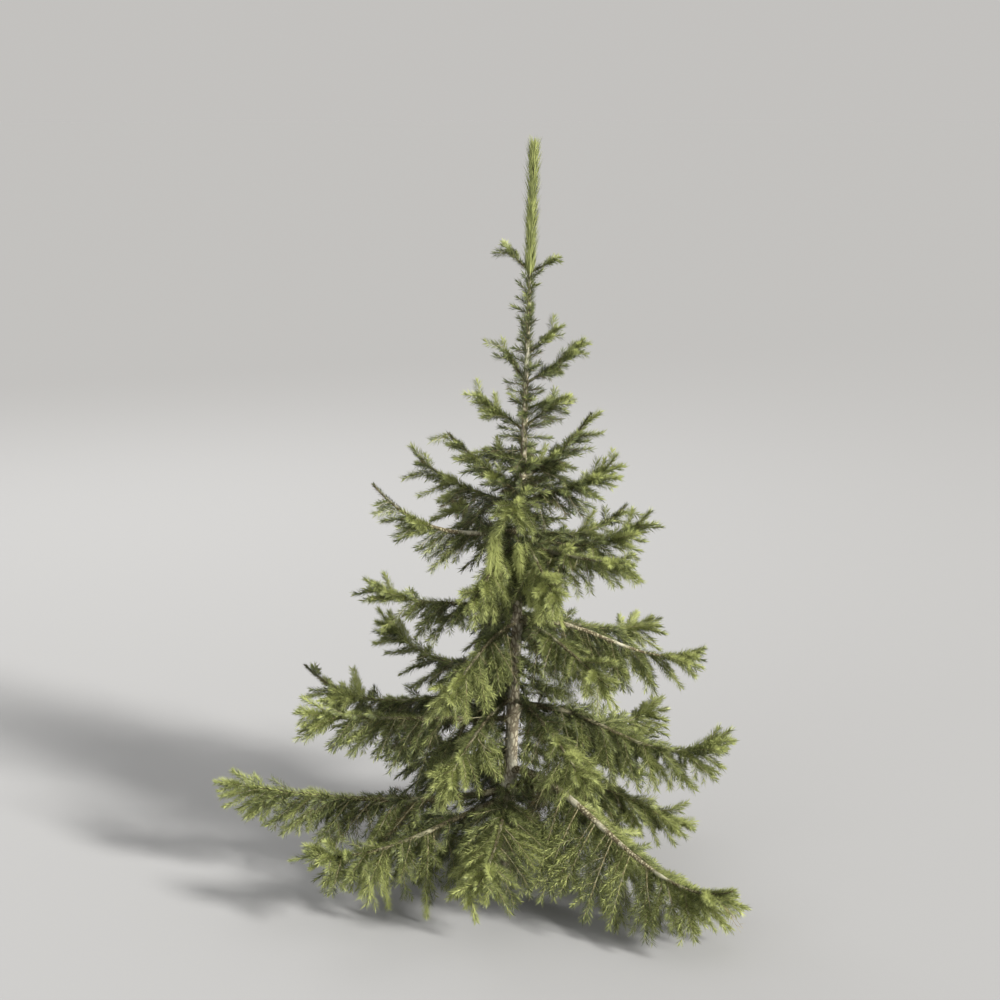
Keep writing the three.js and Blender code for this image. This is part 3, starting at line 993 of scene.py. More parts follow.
@dataclass(frozen=True)
class TipFan:
    """The fan of fresh unbranched shoots just behind a bough's tip.

    Attributes:
        longest: Length of the longest shoot.
        share: The same as a share of the bough's longest side shoot.
        counts: Lengths, and the number of shoots in a fan whose longest is over each.
        starts: How far behind the tip the first and the last start, as shares of the longest.
        jitter: Random part of that.
        narrowest: Least angle in degrees between bough and shoot.
        widest: Largest such angle.
        above: How far they stand above the bough, as a share of how far beside it.
        below: The same below it.
        tip_needles: How far the needles at a shoot's tip reach past its wood.
        droop: Range of the share of its length by which a shoot sinks.
        curl: Spread of the share by which it swings sideways.
        light: Its light, and the spread of that.
        kind: What the shoots share.
    """

    longest: float = 0.105
    share: float = 0.62
    counts: tuple[tuple[float, int], ...] = ((0.09, 6), (0.05, 4), (0.02, 2))
    starts: Pair = (1.15, 0.5)
    jitter: float = 0.1
    narrowest: float = 26.0
    widest: float = 46.0
    above: float = 0.45
    below: float = 0.8
    tip_needles: float = 0.016
    droop: Pair = (-0.06, 0.08)
    curl: float = 0.06
    light: Pair = (0.8, 0.08)
    kind: ShootKind = ShootKind(0.0005, 0.012, 0.15)

    def grow(self, bough: Bough, rng: np.random.Generator) -> Shoots:
        """Grow the fan, each shoot starting nearly its own length behind the tip.

        Args:
            bough: The bough.
            rng: Random numbers.

        Returns:
            The shoots.
        """
        size = min(self.longest, self.share * bough.spread)
        end = 1 - max(bough.thin_end, self.tip_needles) / bough.reach
        count = next((number for least, number in self.counts if size > least), 0)
        back = size * np.linspace(*self.starts, count) * rng.uniform(1 - self.jitter, 1 + self.jitter, count)
        t = end - back / bough.reach
        forward, side, up = bough.directions(t)
        turn = rng.uniform(0, 2 * math.pi) + np.arange(count) * GOLDEN_ANGLE
        above = 0.0 if bough.clear else self.above
        height = np.sin(turn) * np.where(np.sin(turn) > 0, above, self.below)
        radial = unit(side * np.cos(turn)[:, None] + up * height[:, None])
        off = np.radians(rng.uniform(self.narrowest, self.widest, count))[:, None]
        direction = forward * np.cos(off) + radial * np.sin(off)
        facing = square_to(up, direction)
        length = back * rng.uniform(0.8, 1.0, count)
        droop = rng.uniform(*self.droop, count)
        curl = rng.normal(0, self.curl, count)
        light = rng.normal(*self.light, count)
        return self.kind.shoots(bough.point(t), direction, facing, length, droop, curl, light)


@dataclass(frozen=True)
class Twigs:
    """Finer shoots on both sides of a set of shoots.

    Attributes:
        pitch: Distance of twigs on one side.
        shortest: Shoots below this length carry none.
        start: Share of a shoot's way where its first twig stands.
        stop: Share where its last twig stands.
        share: Length of the longest twig, as a share of its shoot's.
        least: Length that is added to that share.
        most: No twig is longer.
        tapering: How much shorter the last twigs are.
        jitter: Range of the random share of the length.
        angle: Degrees between shoot and twig.
        angle_spread: Spread of them.
        lift: Radians by which a twig rises from the shoot's plane, and their spread.
        droop: Range of the share of its length by which a twig sinks.
        curl: Largest share by which it swings towards the shoot's tip.
        lighter: How much lighter it is at its shoot's tip, and the spread of its light.
        thickest: Its radius at most, as a share of its shoot's.
        kind: What the twigs share, apart from the comb, which is their shoot's.
    """

    pitch: float
    shortest: float
    start: float
    stop: float
    share: float
    least: float
    most: float
    tapering: float = 0.72
    jitter: Pair = (0.72, 1.22)
    angle: float = 44.0
    angle_spread: float = 7.0
    lift: Pair = (-0.3, 0.3)
    droop: Pair = (0.02, 0.36)
    curl: float = 0.2
    lighter: Pair = (0.18, 0.07)
    thickest: float = 0.6
    kind: ShootKind = ShootKind(0.0005, 0.006, 0.0, points=4)

    def grow(self, shoots: Shoots, rng: np.random.Generator) -> Shoots:
        """Grow the twigs: alternately left and right, nearly in the shoot's own plane.

        Args:
            shoots: The shoots that carry them.
            rng: Random numbers.

        Returns:
            The twigs.
        """
        carriers = np.flatnonzero(shoots.length > self.shortest)
        span = (self.stop - self.start) * shoots.length[carriers]
        counts = np.maximum(2, (span * 2 / self.pitch).astype(int))
        carrier, rank = dealt(counts)
        owner = carriers[carrier]
        total = len(owner)
        share = (rank + rng.uniform(0.1, 0.9, total)) / counts[carrier]
        s = self.start + (self.stop - self.start) * share
        hand = np.where(rank % 2 == 0, 1.0, -1.0)
        point, forward, up, side = shoots.at(owner, s)
        lift = rng.normal(*self.lift, total)[:, None]
        turn = np.radians(self.angle + rng.normal(0, self.angle_spread, total))[:, None]
        across = unit(side * hand[:, None] * np.cos(lift) + up * np.sin(lift))
        direction = unit(forward * np.cos(turn) + across * np.sin(turn))
        facing = square_to(up + 0.25 * rng.normal(size=up.shape), direction)
        size = (self.share * shoots.length[owner] + self.least) * (1 - self.tapering * s)
        size = np.minimum(size * rng.uniform(*self.jitter, total), self.most)
        droop = rng.uniform(*self.droop, total)
        curl = -hand * rng.uniform(0.0, self.curl, total)
        gain, spread = self.lighter
        light = shoots.light[owner] + gain * s + rng.normal(0, spread, total)
        twigs = self.kind.shoots(point, direction, facing, size, droop, curl, light)
        twigs.root_radius = np.minimum(twigs.root_radius, self.thickest * shoots.root_radius[owner])
        twigs.comb = shoots.comb[owner]
        return twigs


@dataclass(frozen=True)
class BareTwigs:
    """Thin leafless twigs on the inner part of the boughs.

    Attributes:
        spacing: Distance of them along a bough.
        start: Share of the bough from which they stand.
        stop: Share up to which they stand.
        around: Where they stand round the bough, in half turns from its left side over its top.
        angle: Range of the degrees between bough and twig.
        length: Range of their length on a strong bough.
        droop: Range of the share of its length by which a twig sinks.
        curl: Spread of the share by which it swings sideways.
        kind: What the twigs share.
    """

    spacing: float = 0.075
    start: float = 0.06
    stop: float = 0.6
    around: Pair = (0.95, 2.05)
    angle: Pair = (40.0, 75.0)
    length: Pair = (0.03, 0.11)
    droop: Pair = (-0.1, 0.25)
    curl: float = 0.15
    kind: ShootKind = ShootKind(0.0010, 0.008, 0.0)

    def grow(self, bough: Bough, rng: np.random.Generator) -> Shoots:
        """Grow a bough's bare twigs: forward and outward, to its sides and below it.

        Args:
            bough: The bough.
            rng: Random numbers.

        Returns:
            The twigs.
        """
        count = int(bough.reach * self.stop / self.spacing)
        t = rng.uniform(self.start, self.stop, count)
        forward, side, up = bough.directions(t)
        turn = rng.uniform(self.around[0] * math.pi, self.around[1] * math.pi, count)[:, None]
        off = np.radians(rng.uniform(*self.angle, count))[:, None]
        direction = forward * np.cos(off) + (side * np.cos(turn) + up * np.sin(turn)) * np.sin(off)
        facing = square_to(up + 0.01 * side, direction)
        length = rng.uniform(*self.length, count) * bough.vigour
        droop = rng.uniform(*self.droop, count)
        curl = rng.normal(0, self.curl, count)
        return self.kind.shoots(bough.point(t), direction, facing, length, droop, curl, np.zeros(count))


def folded(root: Array, along: Array, radial: Array, size: Array, half: Array | float) -> Array:
    """Needles as diamonds folded along their length.

    A needle's points are its root, one edge just below half way, its tip and the other edge. The edges lie
    lower than the line from root to tip, so its two faces meet in a keel.

    Args:
        root: Where each needle starts.
        along: Its direction.
        radial: Direction out of the shoot.
        size: Its length.
        half: Half its width.

    Returns:
        Points shaped (needles, 4, 3).
    """
    edge = unit(np.cross(along, radial))
    keel = np.cross(edge, along)
    middle = root + along * 0.42 * size - keel * 0.45 * half
    return np.stack([root, middle + edge * half, root + along * size, middle - edge * half], axis=1)


@dataclass(frozen=True)
class NeedleCoat:
    """Needles set on shoots in a spiral and swept towards the shoot's tip.

    Attributes:
        per_metre: Needles on a metre of shoot in full light.
        length: Length of a needle.
        width: Width of a needle at its middle.
        length_jitter: Range of the random share of the length.
        width_jitter: The same of the width.
        root_angle: Degrees off the shoot at its root.
        tip_angle: Degrees off the shoot at its tip.
        angle_spread: Spread of these degrees.
        around_spread: Spread of the spiral, in radians.
        flatness: How far the needles lie down to the shoot's two sides, from 0 to 1.
        shade_loss: Share of its needles that a shoot in full shade has lost.
        root_loss: How much shorter they are at the shoot's root.
        full_shoot: Length of the shortest shoot with needles of full length.
        speckle: Spread of the needles' own light about their shoot's.
        upper: How much lighter the needles on the shoot's upper side are, a painted highlight, and those
            near its tip.
        bare_root: Share of the shoot at its root that bears none.
    """

    per_metre: float
    length: float
    width: float = 0.0023
    length_jitter: Pair = (0.78, 1.12)
    width_jitter: Pair = (0.8, 1.15)
    root_angle: float = 56.0
    tip_angle: float = 33.0
    angle_spread: float = 7.0
    around_spread: float = 0.35
    flatness: float = 0.35
    shade_loss: float = 0.45
    root_loss: float = 0.25
    full_shoot: float = 0.05
    speckle: float = 0.17
    upper: float = 0.12
    bare_root: float = 0.04

    def grow(self, shoots: Shoots, rng: np.random.Generator) -> tuple[Array, Array]:
        """Grow the needles: each leaves the shoot along forward cos(a) + radial sin(a).

        Args:
            shoots: The shoots that bear them.
            rng: Random numbers.

        Returns:
            Points shaped (needles, 4, 3), and the light of each.
        """
        kept = 1 - self.shade_loss * (1 - np.clip(shoots.light, 0, 1))
        counts = np.maximum(4, (shoots.length * self.per_metre * kept).astype(int))
        owner, rank = dealt(counts)
        total = len(owner)
        share = (rank + rng.uniform(0, 1, total)) / counts[owner]
        s = self.bare_root + (1 - self.bare_root) * share
        point, forward, up, side = shoots.at(owner, s)
        around = rank * GOLDEN_ANGLE + rng.normal(0, self.around_spread, total)
        height = (1 - self.flatness) * np.sin(around)
        height = np.where(height < 0, height * (1 - shoots.comb[owner]), height)
        radial = unit(side * np.cos(around)[:, None] + up * height[:, None])
        degrees = self.root_angle + (self.tip_angle - self.root_angle) * s**3
        off = np.radians(degrees + rng.normal(0, self.angle_spread, total))
        along = forward * np.cos(off)[:, None] + radial * np.sin(off)[:, None]
        grown = np.clip(0.55 + 0.45 * shoots.length[owner] / self.full_shoot, 0, 1)
        ends = (1 - self.root_loss * (1 - s) ** 4) * grown
        size = (self.length * rng.uniform(*self.length_jitter, total) * ends)[:, None]
        half = 0.5 * self.width * rng.uniform(*self.width_jitter, total)[:, None]
        root = point + radial * (shoots.root_radius[owner] * (0.9 - 0.6 * s))[:, None]
        # painted highlight: needles on the shoot's upper side are made lighter, and those near its tip too
        light = shoots.light[owner] + self.upper * (np.sin(around) + s - 0.5)
        return folded(root, along, radial, size, half), light + rng.normal(0, self.speckle, total)


@dataclass(frozen=True)
class LeaderCoat:
    """The bristling needles of the leader and of the stem below it.

    Attributes:
        foot: Height where needles begin on the stem.
        leader_foot: Height where the leader begins.
        per_metre: Needles on a metre of the leader, and of the stem if none were missing there.
        on_stem: Share of them that stands at the foot, and what that gains to the tip.
        around_spread: Spread of their spiral, in radians.
        leader_angle: Degrees off the leader at its foot.
        opening: How much that angle opens towards the tip.
        stem_angle: Degrees off the stem below it.
        angle_spread: Spread of these degrees.
        length: Length of a leader needle.
        stem_length: Length of a needle lower on the stem.
        jitter: Range of the random share of the length.
        over_tip: How far the needles reach above the tree's height.
        cut: Range of the share of the room up to there that a needle fills.
        width: Width of a needle.
        light: Light of the stem's needles and of the leader's, and its spread.
    """

    foot: float = 1.05
    leader_foot: float = 1.80
    per_metre: float = 3400.0
    on_stem: Pair = (0.3, 0.75)
    around_spread: float = 0.3
    leader_angle: float = 14.0
    opening: float = 9.0
    stem_angle: float = 46.0
    angle_spread: float = 5.0
    length: float = 0.062
    stem_length: float = 0.026
    jitter: Pair = (0.75, 1.12)
    over_tip: float = 0.010
    cut: Pair = (0.6, 1.0)
    width: float = 0.0023
    light: Triple = (0.47, 0.72, 0.16)

    def grow(self, rng: np.random.Generator) -> tuple[Array, Array]:
        """Grow the needles round the trunk, denser and longer on the leader, none far over its tip.

        Args:
            rng: Random numbers.

        Returns:
            Points shaped (needles, 4, 3), and the light of each.
        """
        span = TRUNK.wood_top - self.foot
        total = int(self.per_metre * span)
        share = np.sort(rng.uniform(0, 1, total))
        z = self.foot + span * share
        at_foot, gain = self.on_stem
        kept = (z > self.leader_foot) | (rng.uniform(0, 1, total) < at_foot + gain * share)
        z = z[kept]
        on_leader = z > self.leader_foot
        count = len(z)
        around = np.arange(count) * GOLDEN_ANGLE + rng.normal(0, self.around_spread, count)
        radial = np.stack([np.cos(around), np.sin(around), 0 * around], axis=-1)
        forward = unit(TRUNK.axis(z + 0.01) - TRUNK.axis(z - 0.01))
        top = np.clip((z - self.leader_foot) / (TRUNK.wood_top - self.leader_foot), 0, 1)
        degrees = np.where(on_leader, self.leader_angle + self.opening * top * (1.6 - top), self.stem_angle)
        off = np.radians(degrees + rng.normal(0, self.angle_spread, count))
        along = unit(forward * np.cos(off)[:, None] + radial * np.sin(off)[:, None])
        size = np.where(on_leader, self.length, self.stem_length) * rng.uniform(*self.jitter, count)
        room = (TRUNK.height + self.over_tip - z) * rng.uniform(*self.cut, count)
        size = np.minimum(size, room)[:, None]
        root = TRUNK.axis(z) + radial * (TRUNK.radius(z) + 0.0002)[:, None]
        stem, leader, spread = self.light
        light = np.where(on_leader, leader, stem) + rng.normal(0, spread, count)
        return folded(root, along, radial, size, 0.5 * self.width), light


@dataclass(frozen=True)
class StemShoots:
    """Shoots that stand on the stem between the whorls.

    Attributes:
        lowest: Height of the lowest one.
        highest: Height of the highest one.
        count: How many there are.
        length_low: Length of the lowest ones.
        length_high: Length of the highest ones.
        climb_low: Degrees that the lowest ones climb.
        climb_high: Degrees that the highest ones climb.
        open_front: Half the sector, in degrees, that is kept clear on the side of azimuth 270.
        around_spread: Spread of their azimuth in radians.
        climb_spread: Spread of the degrees that they climb.
        jitter: Range of the random share of the length.
        droop: Share of its length by which the lowest one sinks.
        curl: Spread of the share by which a shoot swings sideways.
        light: Light of the lowest, what it gains to the highest, and its spread.
        kind: What the shoots share.
    """

    lowest: float
    highest: float
    count: int
    length_low: float
    length_high: float
    climb_low: float
    climb_high: float
    open_front: float = 0.0
    around_spread: float = 0.4
    climb_spread: float = 10.0
    jitter: Pair = (0.6, 1.25)
    droop: float = 0.2
    curl: float = 0.1
    light: Triple = (0.2, 0.25, 0.08)
    kind: ShootKind = ShootKind(0.0006, 0.008, 0.3)

    def grow(self, rng: np.random.Generator) -> Shoots:
        """Grow the shoots, each turned by the golden angle from the one below it.

        Args:
            rng: Random numbers.

        Returns:
            The shoots.
        """
        share = (np.arange(self.count) + rng.uniform(0.1, 0.9, self.count)) / self.count
        z = self.lowest + (self.highest - self.lowest) * share
        around = np.arange(self.count) * GOLDEN_ANGLE + rng.normal(0, self.around_spread, self.count)
        outward = np.stack([np.cos(around), np.sin(around), 0 * around], axis=-1)
        climb = self.climb_low + (self.climb_high - self.climb_low) * share
        rise = np.radians(climb + rng.normal(0, self.climb_spread, self.count))[:, None]
        direction = outward * np.cos(rise) + UP * np.sin(rise)
        facing = square_to(np.broadcast_to(UP, direction.shape), direction)
        length = self.length_low + (self.length_high - self.length_low) * share
        length = length * rng.uniform(*self.jitter, self.count)
        droop = self.droop * (1 - share) * rng.uniform(0.4, 1.2, self.count)
        curl = rng.normal(0, self.curl, self.count)
        low, gain, spread = self.light
        light = low + gain * share + rng.normal(0, spread, self.count)
        every = self.kind.shoots(TRUNK.axis(z), direction, facing, length, droop, curl, light)
        from_front = np.abs(np.angle(np.exp(1j * (around - 1.5 * math.pi))))
        return every.chosen(from_front >= math.radians(self.open_front))


@dataclass(frozen=True)
class Opening:
    """A slot in the foliage through which a stretch of the trunk is seen or lit.

    Attributes:
        lowest: Foot of the stretch.
        highest: Its top.
        half_width: Half the slot's width.
        azimuth: Direction from the trunk in which the slot runs.
        rise: Degrees that it rises outward.
    """

    lowest: float
    highest: float
    half_width: float
    azimuth: float = 270.0
    rise: float = 12.0

    def holds(self, points: Array) -> Array:
        """Which points stand in the slot: outward of the trunk, in its width, and level with the stretch.

        Args:
            points: Points, the last axis holding x, y and z.

        Returns:
            True for the points inside.
        """
        turn = math.radians(self.azimuth)
        start = TRUNK.axis(0.5 * (self.lowest + self.highest))
        x = points[..., 0] - start[0]
        y = points[..., 1]
        outward = x * math.cos(turn) + y * math.sin(turn)
        sideways = y * math.cos(turn) - x * math.sin(turn)
        level = points[..., 2] - math.tan(math.radians(self.rise)) * outward
        between = (outward > 0) & (np.abs(sideways) < self.half_width)
        return between & (level > self.lowest) & (level < self.highest)


@dataclass(frozen=True)
class Curtain:
    """A row of unbranched shoots side by side, or a single one, that hangs from the shoots nearest to it.

    Attributes:
        middle: Place near which the row's middle shoot starts.
        width: Width of the row.
        count: Shoots in it.
        length: Length of the longest.
        sway: Direction of the shoots.
        light: Their light.
        fanning: How far the row's outer shoots turn outward.
        shortening: How much shorter the outer ones are.
        jitter: Range of the random share of the length.
        spread: Spread of the directions, the sideways swing and the light.
        kind: What the shoots share.
    """

    middle: Triple
    width: float
    count: int
    length: float
    sway: Triple = (0.0, -0.22, -1.0)
    light: float = 0.82
    fanning: float = 0.25
    shortening: float = 0.9
    jitter: Pair = (0.9, 1.05)
    spread: Triple = (0.05, 0.06, 0.06)
    kind: ShootKind = ShootKind(0.0006, 0.008, 0.1)

    def grow(self, hosts: Shoots, rng: np.random.Generator) -> Shoots:
        """Grow the row, each shoot from the nearest point of a host's path.

        Args:
            hosts: The shoots that bear the row.
            rng: Random numbers.

        Returns:
            The shoots.
        """
        share = np.linspace(-0.5, 0.5, self.count) if self.count > 1 else np.zeros(1)
        wanted = np.array(self.middle) + share[:, None] * np.array([self.width, 0.0, 0.0])
        places = hosts.path.reshape(-1, 3)
        far = np.linalg.norm(places[None] - wanted[:, None], axis=-1)
        root = places[np.argmin(far, axis=1)]
        turning, swinging, shading = self.spread
        fanned = share[:, None] * np.array([self.fanning, 0.0, 0.0])
        fanned += rng.normal(0, turning, (self.count, 3))
        direction = unit(np.array(self.sway) + fanned)
        facing = square_to(np.broadcast_to([0.1, -1.0, 0.3], direction.shape), direction)
        length = self.length * (1 - self.shortening * share**2) * rng.uniform(*self.jitter, self.count)
        curl = rng.normal(0, swinging, self.count)
        light = self.light + rng.normal(0, shading, self.count)
        return self.kind.shoots(root, direction, facing, length, 0 * length, curl, light)


@dataclass(frozen=True)
class LimbBark:
    """The relief of the boughs' bark.

    Attributes:
        rings: Rings of a bough.
        sides: Points of a ring.
        scale_length: Length of a bark scale.
        scales_around: Scales round the bough.
        relief: Depth of the grooves, as a share of the radius.
        raised: Share of the relief by which they lie below the plain bough.
        knot_pitch: Distance of the knots where side shoots leave, on both sides together.
        knot: Height of a knot, as a share of the radius.
    """

    rings: int = 96
    sides: int = 12
    scale_length: float = 0.009
    scales_around: int = 6
    relief: float = 0.11
    raised: float = 0.6
    knot_pitch: float = 0.033
    knot: float = 0.12

    def build(self, name: str, boughs: list[Bough], finish: bpy.types.Material, bare_tip: float) -> None:
        """Build some boughs' wood: tubes along the centrelines, with scales, and knots at the side shoots.

        The radius grows with the scales' heights, and with the sixth power of a sine of the way along it.

        Args:
            name: The piece's name.
            boughs: The boughs.
            finish: Their bark's material.
            bare_tip: How far the bough's outline reaches past its wood.
        """
        reach = np.array([bough.reach for bough in boughs])
        t = np.linspace(0.0, 1.0, self.rings) * (1 - bare_tip / reach[:, None])
        paths = np.stack([bough.point(place) for bough, place in zip(boughs, t)])
        facing = np.stack([bough.directions(np.array([0.5]))[2][0] for bough in boughs])
        outward, angles = tube_rings(paths, facing, self.sides)
        radius = np.stack([bough.radius(place) for bough, place in zip(boughs, t)])[:, :, None]
        way = t[:, :, None] * reach[:, None, None]
        around = np.broadcast_to(angles / (2 * math.pi), outward.shape[:3])
        along = np.broadcast_to(way / self.scale_length, outward.shape[:3])
        apart = 17.0 * np.arange(len(boughs))[:, None, None]
        rough = scales(around, along + apart, self.scales_around, 1.3) - self.raised
        knots = np.maximum(np.sin(way / self.knot_pitch * math.pi), 0) ** 6
        whole = radius * (1 + self.relief * rough + self.knot * knots)
        points = paths[:, :, None, :] + outward * whole[..., None]
        faces = tube_faces(len(boughs), self.rings, self.sides)
        piece = mesh_piece(name, points.reshape(-1, 3), faces, smooth=True)
        limbs = ["limb_" + bough.name for bough in boughs if "limb_" + bough.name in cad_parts]
        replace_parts(dressed(piece, finish), *limbs)


@dataclass
class Crown:
    """Everything that grows on the trunk: boughs, side shoots, twigs and needles.

    Attributes:
        boughs: The boughs.
        limb_bark: The relief of their bark.
        side_shoots: How side shoots grow on them.
        tip_fan: How fresh shoots fan out at their tips.
        twigs: How twigs grow on side shoots.
        spurs: How bare twigs branch.
        bare_twigs: How bare twigs grow on the boughs.
        stem_shoots: The shoots on the stem, from the inner crown up.
        curtains: The hanging rows of shoots, and three single ones under the lower left boughs.
        trailers: Thin leafless ones at the right.
        openings: The gaps in front of the trunk.
        open_share: Shoots with this share of their path in an opening are left out.
        coats: Needles of the boughs' outer, inner and thin stretches, the fans, side shoots and twigs.
        leader_coat: Needles of the leader and the stem.
        bare_tip: How far the needles at a bough's tip reach past its wood.
        outer_from: Share of the way from which a bough's outer stretch runs, if covered and if clear.
        inner_from: The same of its inner stretch, if the limb is covered to the trunk and if it is not.
        stretch_light: Light of the outer, the inner and the thin stretches.
        twig_taper: Radius of a twig's tip, as a share of its root's.
    """

    boughs: list[Bough]
    limb_bark: LimbBark = LimbBark()
    side_shoots: SideShoots = SideShoots()
    tip_fan: TipFan = TipFan()
    twigs: Twigs = Twigs(0.036, 0.125, 0.14, 0.82, 0.42, 0.014, 0.11)
    spurs: Twigs = Twigs(0.034, 0.030, 0.20, 0.90, 0.35, 0.004, 0.04, angle=55.0)
    bare_twigs: BareTwigs = BareTwigs()
    stem_shoots: tuple[StemShoots, ...] = (
        StemShoots(0.17, 0.98, 112, 0.17, 0.13, -20, 0, open_front=26),
        StemShoots(0.94, 1.28, 60, 0.13, 0.08, -6, 20),
        StemShoots(1.26, 1.46, 20, 0.10, 0.06, 2, 30),
        StemShoots(1.42, 1.82, 36, 0.054, 0.036, 24, 48),
    )
    curtains: tuple[Curtain, ...] = (
        Curtain((-0.012, -0.15, 1.066), 0.070, 6, 0.15, light=1.05),
        Curtain((0.106, -0.17, 1.010), 0.072, 6, 0.15, light=1.05),
        Curtain((0.050, -0.10, 1.050), 0.050, 3, 0.10, light=0.75),
        Curtain((-0.336, -0.315, 0.165), 0.0, 1, 0.12),
        Curtain((-0.221, -0.335, 0.109), 0.0, 1, 0.09),
        Curtain((-0.104, -0.491, 0.186), 0.0, 1, 0.105, (0.25, -0.15, -1.0)),
    )
    trailers: tuple[Curtain, ...] = (
        Curtain((0.62, -0.66, 0.21), 0.02, 2, 0.12, (0.62, -0.1, -0.8)),
        Curtain((0.233, -0.20, 0.752), 0.0, 1, 0.17, (0.42, -0.15, -0.9)),
    )
    openings: tuple[Opening, ...] = (
        Opening(0.33, 0.60, 0.019),
        Opening(0.61, 0.86, 0.014),
        Opening(0.33, 0.60, 0.014, azimuth=320.0, rise=26.0),
    )
    open_share: float = 0.3
    coats: tuple[NeedleCoat, ...] = (
        NeedleCoat(3000, 0.021, flatness=0.1),
        NeedleCoat(4600, 0.022, root_angle=62.0, tip_angle=56.0, flatness=0.1),
        NeedleCoat(4000, 0.014, width=0.0020),
        NeedleCoat(2600, 0.024, flatness=0.1),
        NeedleCoat(1900, 0.024),
        NeedleCoat(1800, 0.023),
    )
    leader_coat: LeaderCoat = LeaderCoat()
    bare_tip: float = 0.014
    outer_from: Pair = (0.4, 0.64)
    inner_from: Pair = (0.12, 0.24)
    stretch_light: Triple = (0.6, 0.25, 0.1)
    twig_taper: float = 0.35

    def build_limbs(self, pale: bpy.types.Material, shaded: bpy.types.Material) -> None:
        """Build the boughs' wood in two pieces: the limbs in full sight, and those among their own needles.

        Args:
            pale: The bark of the limbs in full sight.
            shaded: The bark of the others.
        """
        for name, clear, finish in (("clear_limb_bark", True, pale), ("bough_bark", False, shaded)):
            boughs = [bough for bough in self.boughs if bough.clear == clear]
            self.limb_bark.build(name, boughs, finish, self.bare_tip)

    def grow(self) -> tuple[list[Shoots], list[Shoots]]:
        """Grow all shoots, none of them lower than just above the ground.

        Returns:
            The woody shoots by the points of their paths, and the shoots that bear needles.
        """
        rng = np.random.default_rng(SHOOT_SEED)
        side = joined([self.side_shoots.grow(bough, i, rng) for i, bough in enumerate(self.boughs)])
        side = joined([side, *(stem.grow(rng) for stem in self.stem_shoots)])
        for opening in self.openings:
            side = side.chosen(opening.holds(side.path).mean(axis=1) < self.open_share)
        fans = joined([self.tip_fan.grow(bough, rng) for bough in self.boughs])
        fans = joined([fans, *(curtain.grow(side, rng) for curtain in self.curtains)])
        twigs = self.twigs.grow(side, rng)
        bare = joined([self.bare_twigs.grow(bough, rng) for bough in self.boughs])
        bare = joined([bare, *(trailer.grow(fans, rng) for trailer in self.trailers)])
        spurs = self.spurs.grow(bare, rng)
        kinds = self.stretches() | {
            "fan shoots": fans,
            "side shoots": side,
            "twigs": twigs,
            "bare twigs": bare,
            "spurs": spurs,
        }
        for name, shoots in kinds.items():
            np.maximum(shoots.path[:, :, 2], LOWEST_SHOOT, out=shoots.path[:, :, 2])
            log.info("%s: %d, %.1f m in all", name, len(shoots), shoots.length.sum())
        return [joined([side, fans, bare]), joined([twigs, spurs])], list(kinds.values())[: len(self.coats)]

    def stretches(self) -> dict[str, Shoots]:
        """Take the needle-bearing stretches of the boughs' own wood as shoots.

        Returns:
            The outer, the inner and the thin stretches by name.
        """
        outer = []
        inner = []
        thin = []
        for bough in self.boughs:
            end = 1 - self.bare_tip / bough.reach
            if bough.thin_end:
                behind = 1 - bough.thin_end / bough.reach
                thin.append(self.stretch(bough, behind, end, self.stretch_light[2]))
                end = behind
            start = self.outer_from[bough.clear]
            outer.append(self.stretch(bough, start, end, self.stretch_light[0]))
            if not bough.clear:
                inmost = self.inner_from[bough.bare > 0]
                inner.append(self.stretch(bough, inmost, start, self.stretch_light[1]))
        return {"outer boughs": joined(outer), "inner boughs": joined(inner), "thin ends": joined(thin)}

    def stretch(self, bough: Bough, start: float, end: float, light: float) -> Shoots:
        """Take a stretch of a bough's own wood as a shoot.

        Args:
            bough: The bough.
            start: Share of the bough's way where it starts.
            end: Share where it ends.
            light: Its light.

        Returns:
            A set of one shoot.
        """
        path = bough.point(np.linspace(start, end, 16))
        length = np.linalg.norm(np.diff(path, axis=0), axis=1).sum()
        facing = bough.directions(np.array([0.8]))[2]
        radius = bough.radius(np.array([start]))
        return Shoots(path[None], facing, np.array([length]), radius, np.array([light]), np.array([0.3]))

    def build_twigs(self, woody: list[Shoots], finish: bpy.types.Material) -> None:
        """Build the wood of all shoots as three-sided tubes that taper to their tips.

        Args:
            woody: The woody shoots, each set in pieces below the limit.
            finish: Their material.
        """
        number = 0
        for shoots in woody:
            rings = shoots.path.shape[1]
            triangles = len(shoots) * (6 * (rings - 1) + 2)
            for part in np.array_split(np.arange(len(shoots)), math.ceil(triangles / MOST_TRIANGLES)):
                twigs = shoots.chosen(part)
                outward, _ = tube_rings(twigs.path, twigs.facing, 3)
                taper = np.linspace(1.0, self.twig_taper, rings)[None, :, None, None]
                radius = twigs.root_radius[:, None, None, None] * taper
                tubes = (twigs.path[:, :, None, :] + outward * radius).reshape(-1, 3)
                number += 1
                piece = mesh_piece(f"twigs_{number}", tubes, tube_faces(len(twigs), rings, 3), smooth=True)
                dressed(piece, finish)

